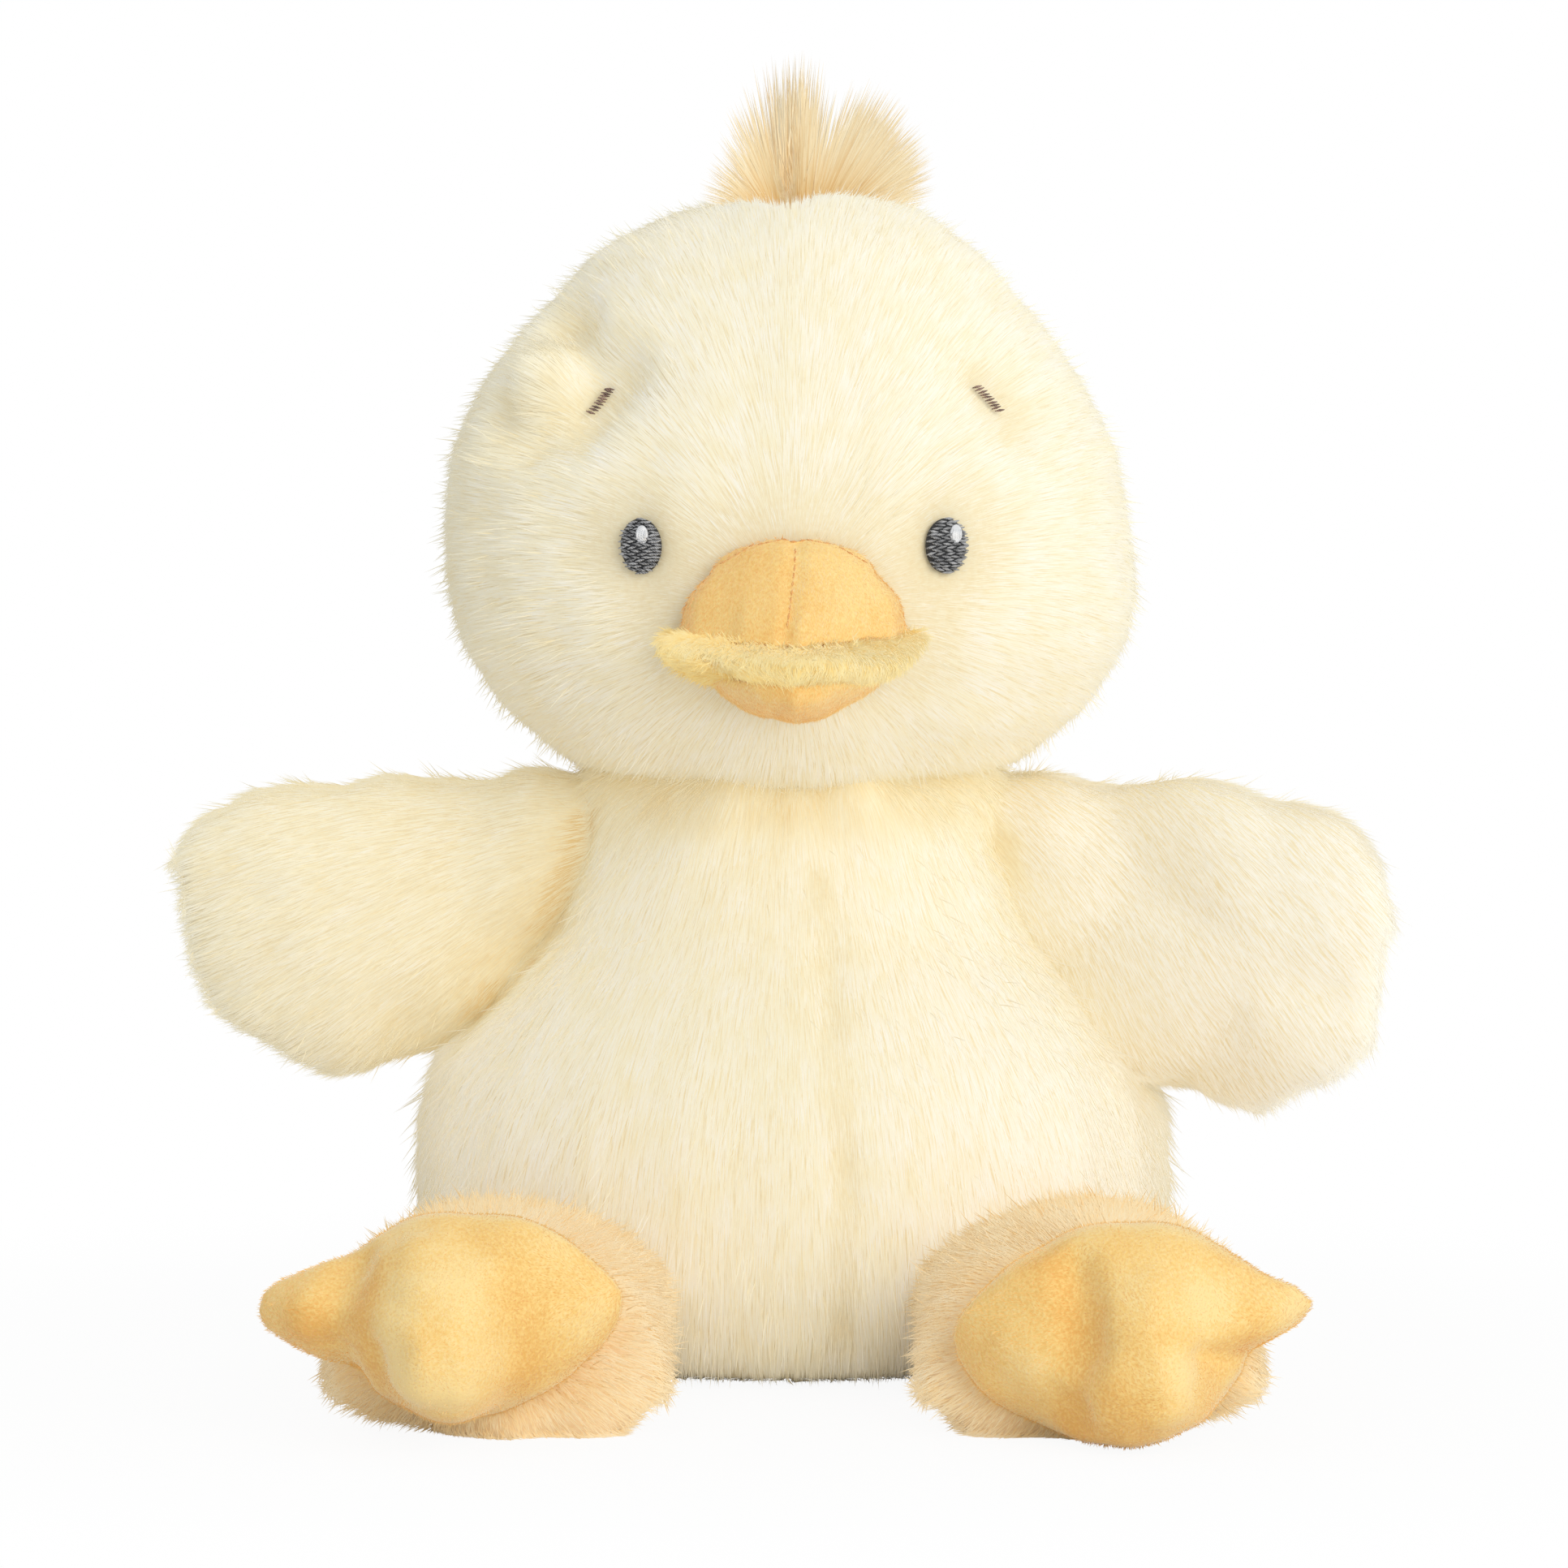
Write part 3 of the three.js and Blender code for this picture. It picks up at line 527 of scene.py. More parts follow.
def pile_tree(name, strand, per_mm2, seed, lock_size, lock_lean, stray, speckle):
    """The tree for one patch of pile. lock_size is in mm; the leans are shares of the normal."""
    tree = bpy.data.node_groups.new(name, "GeometryNodeTree")
    for way in ("INPUT", "OUTPUT"):
        tree.interface.new_socket("Geometry", in_out=way, socket_type="NodeSocketGeometry")
    pile = Recipe(tree)
    skin = pile.add("NodeGroupInput").outputs[0]
    density = pile.sum("MULTIPLY", named(pile, "thick"), per_mm2 * 1e6)
    scatter = {"Mesh": skin, "Density": density, "Seed": seed}
    roots = pile.add("GeometryNodeDistributePointsOnFaces", scatter).outputs
    place = pile.add("GeometryNodeInputPosition").outputs[0]
    cloud = noise_at(pile, place, 1000 / lock_size)["Color"]
    centred = joined(pile, "SUBTRACT", cloud, (0.5, 0.5, 0.5))
    locks = joined(pile, "MULTIPLY", centred, (lock_lean,) * 3)
    own = chance(pile, -stray, stray, seed + 1, vector=True)
    comb = {0: named(pile, "comb", "FLOAT_VECTOR")}
    rarely = pile.sum("POWER", chance(pile, 0, 1, seed + 4), 6.0)
    comb["Scale"] = pile.sum("SUBTRACT", 1.15, pile.sum("MULTIPLY", rarely, 0.95))
    brushed = pile.add("ShaderNodeVectorMath", comb, operation="SCALE").outputs[0]
    lean = joined(pile, "ADD", roots["Normal"], brushed, locks, own)
    upright = pile.add("FunctionNodeAlignRotationToVector", {"Vector": lean}, axis="Z")
    facing = {"Rotation": upright.outputs[0], "Vector": roots["Normal"]}
    turn = pile.add("FunctionNodeAlignRotationToVector", facing, axis="X", pivot_axis="Z")
    length = pile.sum("MULTIPLY", named(pile, "reach"), chance(pile, 0.7, 1.15, seed + 2))
    fibre = pile.add("GeometryNodeObjectInfo", {"Object": strand}).outputs["Geometry"]
    spot = pile.add("ShaderNodeSeparateXYZ", {0: place}).outputs
    along = pile.sum("DIVIDE", spot[2], strand["length"] * MM, clamp=True)
    across = pile.sum("MULTIPLY_ADD", spot[1], 0.8 / (strand["width"] * MM), 0.5)
    fibre = stored(pile, fibre, "along", along)
    fibre = stored(pile, fibre, "across", across)
    copies = {"Points": roots["Points"], "Instance": fibre}
    copies |= {"Rotation": turn.outputs[0], "Scale": length}
    copies = pile.add("GeometryNodeInstanceOnPoints", copies).outputs[0]
    tufts = pile.sum("SUBTRACT", noise_at(pile, place, 3000 / lock_size)["Fac"], 0.5)
    tone = pile.sum("ADD", named(pile, "tone"), chance(pile, -speckle, speckle, seed + 3))
    tone = pile.sum("ADD", tone, pile.sum("MULTIPLY", tufts, 0.9), clamp=True)
    column = pile.sum("FLOOR", pile.sum("MULTIPLY", tone, TONES - 0.01))
    copies = stored(pile, copies, "column", column, "INSTANCE")
    real = pile.add("GeometryNodeRealizeInstances", {0: copies}).outputs[0]
    chart_across = pile.sum("ADD", named(pile, "column"), named(pile, "across"))
    chart = {0: pile.sum("DIVIDE", chart_across, float(TONES)), 1: named(pile, "along")}
    chart = pile.add("ShaderNodeCombineXYZ", chart).outputs[0]
    real = stored(pile, real, "OFBake", chart, "CORNER", "FLOAT2")
    for spare in ("along", "across", "column", "comb", "reach", "thick", "tone"):
        real = pile.add("GeometryNodeRemoveAttribute", {"Geometry": real, "Name": spare}).outputs[0]
    pile.add("NodeGroupOutput", {0: real})
    return tree


print("chart of", TONES, "tones")
# %% Brush a skin and grow its pile
def normals_of(piece):
    normals = np.empty(len(piece.data.vertices) * 3, np.float32)
    piece.data.vertices.foreach_get("normal", normals)
    return normals.reshape(-1, 3).astype(float)


def flattened(vectors, normals):
    """The part of each vector that lies along the skin, made one long."""
    along = vectors - normals * np.sum(vectors * normals, axis=1)[:, None]
    return along / np.maximum(np.linalg.norm(along, axis=1), 1e-9)[:, None]


def write(skin, **attributes):
    """Keeps a number or a vector for each vertex as an attribute of the skin."""
    for name, values in attributes.items():
        values = np.asarray(values, np.float32)
        if values.ndim == 0:
            values = np.full(len(skin.data.vertices), values)
        kind, field = ("FLOAT_VECTOR", "vector") if values.ndim == 2 else ("FLOAT", "value")
        old = skin.data.attributes.get(name)
        if old:
            skin.data.attributes.remove(old)
        attribute = skin.data.attributes.new(name, kind, "POINT")
        attribute.data.foreach_set(field, values.ravel())


def brush(skin, middle, fall=0.0, lean=5.0):
    """Writes a comb that runs away from a place in mm, and turns downwards by fall."""
    spots = spots_of(skin)
    normals = normals_of(skin)
    away = flattened(spots - np.array(middle, float), normals)
    down = flattened(np.tile([0.0, 0.0, -1.0], (len(spots), 1)), normals)
    write(skin, comb=flattened(away + down * np.reshape(fall, (-1, 1)), normals) * lean)
    return spots


def grow(name, skin, strand, per_mm2, seed, finish, locks=(12, 1.4), stray=0.3, speckle=0.08):
    """A piece of pile alone, grown from the brushed skin. locks is their size in mm and lean,
    and speckle is how far one fibre's tone strays."""
    piece = bpy.data.objects.new(name, skin.data.copy())
    piece.data.name = name
    bpy.context.scene.collection.objects.link(piece)
    piece.data.materials.clear()
    only(piece)
    growth = piece.modifiers.new("growth", "NODES")
    growth.node_group = pile_tree(name, strand, per_mm2, seed, *locks, stray, speckle)
    bpy.ops.object.modifier_apply(modifier=growth.name)
    piece.data.materials.clear()
    piece.data.materials.append(finish)
    piece.visible_shadow = False
    piece.visible_diffuse = False
    lie_on_floor(piece)
    print(f"{name}: {faces(piece) // faces(strand)} fibres, {faces(piece)} triangles")
    return piece


print("a coat is grown from comb, reach, thick and tone")

# %% [markdown]
# ## Finishes
# The pile is a very pale cream. Its roots and its folds are painted warmer and deeper: painted shade
# for the light that the coat passes on among its fibres and into its folds. Each finish reads the
# colour chart that the fibres carry: the column for the tone, the height for root to tip. Sheen gives
# the soft bright rim that real fibres show where they are seen from the side.
# %% Finish of pile
def ink(code):
    """A colour as a paint chart gives it, turned into the linear values that the shader needs."""
    shares = [int(code[i : i + 2], 16) / 255 for i in (1, 3, 5)]
    return [v / 12.92 if v <= 0.04045 else ((v + 0.055) / 1.055) ** 2.4 for v in shares] + [1.0]


def ramp(recipe, share, places, colours):
    """Colours that blend into each other along share, each at its place."""
    node = recipe.add("ShaderNodeValToRGB", {"Fac": share})
    bar = node.color_ramp.elements
    while len(bar) < len(places):
        bar.new(0.5)
    for element, place, colour in zip(bar, places, colours):
        element.position = place
        element.color = ink(colour)
    return node.outputs["Color"]


def tinted(recipe, colour, tint):
    """One colour multiplied by another."""
    mix = recipe.add("ShaderNodeMix", data_type="RGBA", blend_type="MULTIPLY")
    share, *both = [socket for socket in mix.inputs if socket.enabled]
    share.default_value = 1.0
    for socket, value in zip(both, (colour, tint)):
        recipe.links.new(value, socket)
    return [socket for socket in mix.outputs if socket.enabled][0]


def mixed(recipe, fine, coarse, share):
    """Two patterns added up: this share of the fine one and the rest of the coarse one."""
    return recipe.sum("MULTIPLY_ADD", fine, share, recipe.sum("MULTIPLY", coarse, 1 - share))


def surfaced(recipe, colour, look, relief=()):
    """Ends a finish. relief is the pattern that stands up, how strongly, and how far in metres."""
    look = {"Base Color": colour} | look
    if relief:
        bump = dict(zip(("Height", "Strength", "Distance"), relief))
        look["Normal"] = recipe.add("ShaderNodeBump", bump).outputs[0]
    surface = recipe.add("ShaderNodeBsdfPrincipled", look)
    recipe.add("ShaderNodeOutputMaterial", {0: surface.outputs[0]})


def pile_finish(name, tones, roots, places=(0.0, 0.3, 0.62, 1.0), sheen=0.25):
    """tones run from the painted shade of deep folds to the palest fibres; roots is the painted shade
    that tints the fibre's foot.
    """
    material, finish = blank(name)
    chart = finish.add("ShaderNodeUVMap", uv_map="OFBake").outputs[0]
    place = finish.add("ShaderNodeSeparateXYZ", {0: chart}).outputs
    colour = ramp(finish, place[0], places, tones)
    # The fibre's foot is tinted with roots: painted shade deep in the coat.
    foot = ramp(finish, place[1], (0.05, 0.6), (roots, "#FFFFFF"))
    look = {"Roughness": 0.85, "Sheen Weight": sheen, "Sheen Roughness": 0.6}
    surfaced(finish, tinted(finish, colour, foot), look | {"Specular IOR Level": 0.1})
    return material


cream_pile = pile_finish("cream_pile", ("#EBD09A", "#F8EAC2", "#FDF6DA", "#FFFCF0"), "#FCF3DF")
print("finish:", cream_pile.name)
# %% Finish of the backing cloth
def backing_finish(name, pale, deep):
    """A knitted backing that shows between fibres: slow blotches of colour and a fine grain."""
    material, finish = blank(name)
    spot = finish.add("ShaderNodeTexCoord").outputs["Object"]
    blotches = noise_at(finish, spot, 45, 3)["Fac"]
    knit = noise_at(finish, spot, 900)["Fac"]
    colour = ramp(finish, mixed(finish, knit, blotches, 0.5), (0.3, 0.65), (deep, pale))
    look = {"Roughness": 0.9, "Sheen Weight": 0.2, "Specular IOR Level": 0.1}
    surfaced(finish, colour, look, relief=(knit, 0.12, 0.0006))
    return material


cream_backing = backing_finish("cream_backing", "#F8EDCB", "#F1DFB4")
print("finish:", cream_backing.name)

# %% [markdown]
# ## Head
# The head is a big round ball. Thread pulls its skin in at the eyes and the brows, and most of all
# at the brow on the toy's right side, where a fold runs up and back and the plush beside it stands
# out in a puff. The crown dips where the crest is sewn in. Places on the front are given as across
# and up, and a ray finds the skin there, so each stitch sits on what carries it.
# %% Find places on a skin
AHEAD = -400


def nearest_seen(skin, across, up):
    """Which vertex is nearest to a place across and up, at whatever depth."""
    spots = spots_of(skin)
    return np.argmin(np.hypot(spots[:, 0] - across, spots[:, 2] - up))


def on_front(skin, across, up):
    """The skin's point and normal behind a place on the front, in mm, or the nearest on its outline."""
    hit, place, normal, _ = skin.ray_cast(Vector((across, AHEAD, up)) * MM, Vector((0, 1, 0)))
    if hit:
        return np.array(place) / MM, np.array(normal)
    nearest = nearest_seen(skin, across, up)
    return spots_of(skin)[nearest], normals_of(skin)[nearest]


def drawn(skin, line):
    """A route on the front of a skin through places that are given as across and up."""
    return [on_front(skin, across, up)[0] for across, up in line]


def ride_as(piece, body, slot, *nodes, fill=None):
    """Attaches the piece to the empty of the body that it moves with, or, where body is given as a
    tuple, only bakes its place in, and hides the solids that it stands for. slot is not used.
    """
    if isinstance(body, str):
        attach(piece, body)
    else:
        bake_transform(piece)
    if nodes:
        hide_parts(*nodes)


def grow_patches(skin, body, seed, patches):
    """Cream pile, a piece for each panel: where it stands, and how many fibres to a square mm."""
    for patch_seed, (node, here, per_mm2) in enumerate(patches, seed):
        write(skin, thick=here)
        name = node.removesuffix("_panel") + "_pile"
        pile = grow(name, skin, long_strand, per_mm2, patch_seed, cream_pile)
        ride_as(pile, body, "cream_plush", node)


print("places are found by ray, from", -AHEAD, "mm in front")
# %% Head skin
head_nodes = ["face_right", "face_left", "head_back", "head_filling"]
head_skin = skin_from("head_skin", head_nodes, 3.0, 1.8, smoothing=6)
head_outline = [(-12, 245.5), (-30, 241), (-40, 236), (-51, 224), (-58, 218), (-66, 206.5)]
head_outline += [(-72, 195), (-74.4, 183), (-74.4, 171), (-73, 159), (-68.2, 147), (-58.7, 135)]
head_outline += [(-45, 124), (-22, 120.5), (0, 121), (22, 120.5), (45, 124), (59.6, 135)]
head_outline += [(68.7, 147), (73.2, 159), (72.5, 171), (70.8, 183), (67.7, 195), (61.5, 206.5)]
head_outline += [(54.5, 218), (48.5, 224), (38, 235.5), (31, 241.5), (22, 245.5)]
moved = fit_outline(head_skin, (0, 184), head_outline, 2.2)
brow_right = drawn(head_skin, [(-43.0, 200.2), (-37.5, 205.2)])
brow_left = drawn(head_skin, [(37.5, 205.2), (43.0, 200.2)])
eye_right = drawn(head_skin, [(-30.5, 174)])
eye_left = drawn(head_skin, [(30.5, 174)])
fold_above = drawn(head_skin, [(-44.0, 213.0), (-45.5, 218.0)])
fold_below = drawn(head_skin, [(-56.0, 201.0), (-53.0, 194.5)])
puff = drawn(head_skin, [(-50.5, 206.0)])
crown = [(-0.5, -15, 243), (-0.5, -7, 245), (-0.5, 4, 246)]
for route, width, depth, core in (
    (brow_right, 14, 6.5, 2.5),
    (fold_above, 8, 5.0, 2.5),
    (fold_below, 8, 3.5, 2.5),
    (puff, 12, -6.0, 2.5),
    (brow_left, 13, 3.0, 2.5),
    (eye_right, 15, 2.0, 5),
    (eye_left, 15, 2.0, 5),
    (crown, 6, 3.5, 1.5),
):
    press(head_skin, route, width, depth, core)
spots = spots_of(head_skin)
sewn_down = (apart(spots, brow_right, brow_left) < 5) | (apart(spots, fold_above) < 4)
swell = stuff(head_skin, sewn_down | (spots[:, 2] < 130), travel=1.5)
cover(head_skin, cream_backing)
ride_as(head_skin, "head", "cream_plush", "head_filling", fill=0.9)
print(f"head skin: {faces(head_skin)} faces, moved {moved:.1f} and swelled {swell:.1f} mm")

# %% [markdown]
# The face's pile is brushed away from the bill, upwards on the brow and down and back on the
# cheeks. It is short round the eyes, so that they aren't covered, and there is none under them.
# %% Grow the head's pile
behind = np.clip((spots_of(head_skin)[:, 1] + 20) / 60, 0, 1)
spots = brush(head_skin, (0, -62, 152), fall=0.35 + 1.2 * behind)
eye_gap = apart(spots, eye_right, eye_left)
brow_gap = apart(spots, brow_right, brow_left)
bill_gap = apart(spots, [(-18, -60, 158), (0, -64, 168), (18, -60, 158)])
reach = 0.7 * np.clip((eye_gap - 5) / 9, 0.3, 1) * np.clip((brow_gap - 1) / 5, 0.35, 1)
reach *= np.clip(apart(spots, crown) / 7, 0.3, 1)
reach *= np.clip((bill_gap - 6) / 14, 0.45, 1)
# Painted shade: the tone is deeper in the creases of the brows and of the fold, towards the toy's right
# side, which is away from the lamps, and under the chin.
shade = 0.3 * bell(brow_gap, 5) + 0.25 * bell(apart(spots, fold_above, fold_below), 5)
painted_side_shade = np.interp(spots[:, 0], [-70, -30], [0.16, 0.0])
painted_chin_shade = 0.3 * np.clip((130 - spots[:, 2]) / 7, 0, 1)
write(head_skin, reach=reach, tone=0.76 - shade - painted_side_shade - painted_chin_shade)
front = spots[:, 1] < 12
uncovered = eye_gap > 4.5
head_patches = [
    ("face_right", front & (spots[:, 0] < 0) & uncovered, 2.65),
    ("face_left", front & (spots[:, 0] >= 0) & uncovered, 2.65),
    ("head_back", ~front & uncovered, 1.25),
]
grow_patches(head_skin, "head", 11, head_patches)

# %% [markdown]
# ## Torso
# The torso is a pear that sits on a flat seat. Its top is drawn up into the fold of the neck, most of
# all at the shoulders and the collar. One faint seam runs down the belly, a little to the toy's
# left, and the pile parts along it. The wings and the legs are sewn on in folds. Along the wings'
# folds and the seam the pile is painted deeper and warmer: painted shade for the light that passes
# through it several times there.
# %% Torso skin
torso_nodes = ["torso_front_right", "torso_front_left", "torso_back_right", "torso_back_left"]
torso_nodes += ["seat_panel", "torso_filling", "pellet_pouch"]
torso_skin = skin_from("torso_skin", torso_nodes, 3.0, 1.0, smoothing=5)
edit(torso_skin, spots_of(torso_skin)[:, 2] > 106)
bpy.ops.transform.translate(value=Vector((0, 0, 6.5)) * MM, **falling_off(16))
done()
pull(torso_skin, [(-6, -24, 123), (6, -24, 123)], 6, (0, -2, 3), 12)
for side in (-1, 1):
    pull(torso_skin, [(side * 34, -8, 115), (side * 34, 8, 115)], 6, (side * 3, 0, 6.5), 12)
    pull(torso_skin, [(side * 19, -22, 120), (side * 22, -16, 120)], 6, (0, -2, 4), 12)
belly_line = [(5.3, 108.0), (7.0, 90.0), (8.6, 70.6), (10.3, 47.6), (9.5, 14.0)]
belly_seam = drawn(torso_skin, belly_line)
press(torso_skin, belly_seam, 5, 1.1, core=1.0)
right_fold = [(-42, 117), (-45, 110), (-47.5, 100), (-51.5, 92), (-58.5, 83), (-65, 76.5)]
left_fold = [(42.4, 114.5), (50.0, 97.4), (62.0, 78.6), (71.0, 66.0)]
wing_folds = [drawn(torso_skin, fold) for fold in (right_fold, left_fold)]
for wing_fold in wing_folds:
    press(torso_skin, wing_fold, 12, 2.2)
heights = spots_of(torso_skin)[:, 2]
swell = stuff(torso_skin, (heights < 12) | (heights > 108), travel=1.5)
cover(torso_skin, cream_backing)
ride_as(torso_skin, "torso", "cream_plush", "torso_filling", "pellet_pouch", fill=0.8)
print(f"torso skin: {faces(torso_skin)} faces, swelled {swell:.1f} mm")
# %% Grow the torso's pile
spots = brush(torso_skin, (0, -20, 150), fall=1.0)
seam_gap = apart(spots, belly_seam)
fold_gap = apart(spots, *wing_folds)
# Painted light and shade in the tone: paler towards both flanks, as painted light, and deeper along the
# belly seam, under the head and in the wing folds, as painted shade.
tone = 0.66 + np.interp(spots[:, 0], [-70, -40, 0, 25, 60], [0.25, 0.12, 0.0, 0.12, 0.4])
tone -= 0.16 * bell(seam_gap, 2) + 0.3 * np.clip((spots[:, 2] - 114) / 6, 0, 1)
tone -= 0.2 * bell(fold_gap, 8) + 0.6 * bell(fold_gap, 3)
reach = np.where(spots[:, 2] < 8, 0.5, 0.85) * np.clip(seam_gap / 4, 0.6, 1)
write(torso_skin, tone=tone, reach=reach * np.clip(fold_gap / 5, 0.5, 1))
seated = normals_of(torso_skin)[:, 2] < -0.8
front = (spots[:, 1] < 0) & ~seated
back = (spots[:, 1] >= 0) & ~seated
torso_patches = [
    ("torso_front_right", front & (spots[:, 0] < 8), 2.3),
    ("torso_front_left", front & (spots[:, 0] >= 8), 2.3),
    ("torso_back_right", back & (spots[:, 0] < 0), 1.2),
    ("torso_back_left", back & (spots[:, 0] >= 0), 1.2),
    ("seat_panel", seated, 0.6),
]
grow_patches(torso_skin, "torso", 21, torso_patches)

# %% [markdown]
# ## Wings
# Each wing is a flat bag of two panels with three soft lobes at its tip. The lobes part in shallow
# dents. At the root the fabric is drawn on to the torso, into which it is sewn.
# %% Wing skins and pile
def sew_on(skin, near, far):
    """Draws the end of a skin on to the torso: wholly where it is nearer than near, less out to far."""
    spots = [Vector(spot) * MM for spot in spots_of(skin)]
    gaps = [(spot - torso_skin.closest_point_on_mesh(spot)[1]).length / MM for spot in spots]
    hold = np.clip((far - np.array(gaps)) / (far - near), 0, 1)
    seam = skin.vertex_groups.new(name="seam")
    for index in np.flatnonzero(hold):
        seam.add([int(index)], float(hold[index]), "REPLACE")
    wrap = skin.modifiers.new("seam", "SHRINKWRAP")
    wrap.target = torso_skin
    wrap.vertex_group = "seam"
    only(skin)
    bpy.ops.object.modifier_apply(modifier=wrap.name)
    skin.vertex_groups.clear()
    return hold > 0.5


right_wing = [(-48, 126), (-60, 125.5), (-71, 124.8), (-93, 124), (-110, 123.5), (-122, 118.8)]
right_wing += [(-129, 113), (-131.6, 106.6), (-129, 94.7), (-126.5, 82.7), (-122, 73)]
right_wing += [(-110, 66.5), (-98, 59.5), (-91.3, 59.5), (-84.5, 62), (-77.5, 67), (-71, 70)]
left_wing = [(48, 126), (60, 126), (71.5, 125.4), (98.6, 121.6), (113.9, 119.4), (121.8, 111.8)]
left_wing += [(125, 102), (123.5, 86.7), (123.5, 74.8), (118.5, 65.5), (105.4, 58.6)]
left_wing += [(97, 52), (86, 56), (80, 60)]
right_dents = [[(-127, 104), (-114, 101)], [(-119, 80), (-107, 84)]]
left_dents = [[(121, 103), (107, 100)], [(121, 80), (106, 82)]]
# The tone column is painted: deeper on the wing on the toy's right, which is away from the lamps, and
# paler on its left, as painted shade and painted light.
for name, side, outline, dents, wing_fold, tone, fall, seed in (
    ("wing_right", -1, right_wing, right_dents, wing_folds[0], 0.34, 0.25, 31),
    ("wing_left", 1, left_wing, left_dents, wing_folds[1], 0.95, 1.0, 33),
):
    panels = (f"{name}_front", f"{name}_back")
    filling = f"{name}_filling"
    wing_skin = skin_from(f"{name}_skin", [*panels, filling], 2.5, 1.2, smoothing=4)
    spots = spots_of(wing_skin)
    root_edge = np.interp(spots[:, 2], [75, 112], [62, 36])
    free_share = np.clip((np.abs(spots[:, 0]) - root_edge) / 15, 0, 1)
    moved = fit_outline(wing_skin, (side * 95, 92), outline, 2.4, free_share)
    pull(wing_skin, [(side * 44, -6, 118)], 7, (-side * 7, -2, 3), 18)
    pull(wing_skin, [(side * 44, -6, 121)], 8, (0, 0, 2), 14)
    pull(wing_skin, [(side * 48, -11, 106)], 9, (-side * 6, -4, 1), 15)
    sewn_end = sew_on(wing_skin, 5, 10)
    spots = spots_of(wing_skin)
    for dent in dents:
        ends = [spots[np.argmin(np.hypot(spots[:, 0] - x, spots[:, 2] - z))] for x, z in dent]
        press(wing_skin, ends, 8, 1.1)
    swell = stuff(wing_skin, sewn_end, travel=1.5)
    cover(wing_skin, cream_backing)
    spots = brush(wing_skin, (side * 20, 0, 110), fall=fall)
    root_gap = np.clip((np.abs(spots[:, 0]) * 0.8 + spots[:, 2] * 0.6 - 100) / 14, 0, 1)
    # Painted shade: the tone is deeper towards the root and much deeper along the fold where the wing
    # is sewn on.
    tone = tone + 0.3 * root_gap - 0.75 * bell(apart(spots, wing_fold), 2.4)
    write(wing_skin, tone=tone, reach=0.5 + 0.12 * root_gap, thick=1)
    pile = grow(f"{name}_pile", wing_skin, long_strand, 2.5, seed, cream_pile, (8, 1.6), 0.4)
    root = ("torso", name, (side * 52 * MM, 0, 0.092), (side * 72 * MM, 0, 0.092))
    ride_as(wing_skin, root, "cream_plush", filling, fill=0.6)
    ride_as(pile, root, "cream_plush", *panels)
    print(f"{name}: {faces(wing_skin)} faces, moved {moved:.1f} and swelled {swell:.1f} mm")

# %% [markdown]
# ## Legs
# The legs are short cushions of peach plush. Only a ring of them shows round the velour feet, and
# its pile stands out all round, away from the middle of the foot.
# %% Leg skins and pile
peach_backing = backing_finish("peach_backing", "#F8DCB0", "#EFC894")
peach_pile = pile_finish("peach_pile", ("#EEC684", "#F8D89E", "#FDE6B8", "#FFF0CE"), "#FCE8C8")
leg_strand = model_strand("leg_strand", length=6.5, width=0.26, bend=0.8)
for name, side, seed in (("leg_right", -1, 41), ("leg_left", 1, 43)):
    leg_skin = skin_from(f"{name}_bag", [f"{name}_skin", f"{name}_filling"], 2.5, 1.2, smoothing=4)
    for across, outwards in ((34, -5), (48, -2), (62, 0), (88, 5)):
        foremost = nearest_to(leg_skin, (side * across, -96, 8))
        pull(leg_skin, [foremost], 4, (side * outwards, -6, -5), 16)
    lie_on_floor(leg_skin)
    sewn_end = sew_on(leg_skin, 4, 8)
    swell = stuff(leg_skin, sewn_end | (spots_of(leg_skin)[:, 2] < 6), travel=1.5)
    cover(leg_skin, peach_backing)
    spots = brush(leg_skin, (side * 62, -96, 22), lean=1.6)
    # Painted shade: the pile is paler towards the front and deeper towards the back, under the torso.
    tone = np.clip(0.45 + (-spots[:, 1] - 50) / 100, 0.3, 0.75)
    reach = np.where(spots[:, 2] < 6, 0.6, 1.0)
    write(leg_skin, tone=tone, reach=reach, thick=np.where(spots[:, 1] < -45, 1.0, 0.5))
    pile = grow(f"{name}_pile", leg_skin, leg_strand, 2.2, seed, peach_pile, stray=0.45)
    hip = ("torso", name, (side * 58 * MM, -0.034, 0.020), (side * 58 * MM, -0.056, 0.020))
    ride_as(leg_skin, hip, "peach_plush", f"{name}_filling", fill=0.7)
    ride_as(pile, hip, "peach_plush", f"{name}_skin")
    print(f"{name}: {faces(leg_skin)} faces, swelled {swell:.1f} mm")

# %% [markdown]
# ## Tail and neck
# The tail is one small stuffed point. The neck is a firm ball between the torso and the head, and
# nearly all that shows of it is pile in the fold, so it gets a short coat of its own. Its front is
# brought forward at the throat, so that little gapes under the chin when the head nods back.
# %% Tail and neck
tail_skin = skin_from("tail_bag", ["tail"], 2.0, 1.0, smoothing=4)
stuff(tail_skin, sew_on(tail_skin, 3, 7), travel=1.0)
cover(tail_skin, cream_backing)
brush(tail_skin, (0, 50, 34), fall=0.1, lean=3.5)
write(tail_skin, tone=0.64, reach=1, thick=1)
tail_pile = grow("tail_pile", tail_skin, long_strand, 1.8, 51, cream_pile)
ride_as(tail_skin, "torso", "cream_plush", fill=0.7)
ride_as(tail_pile, "torso", "cream_plush", "tail")

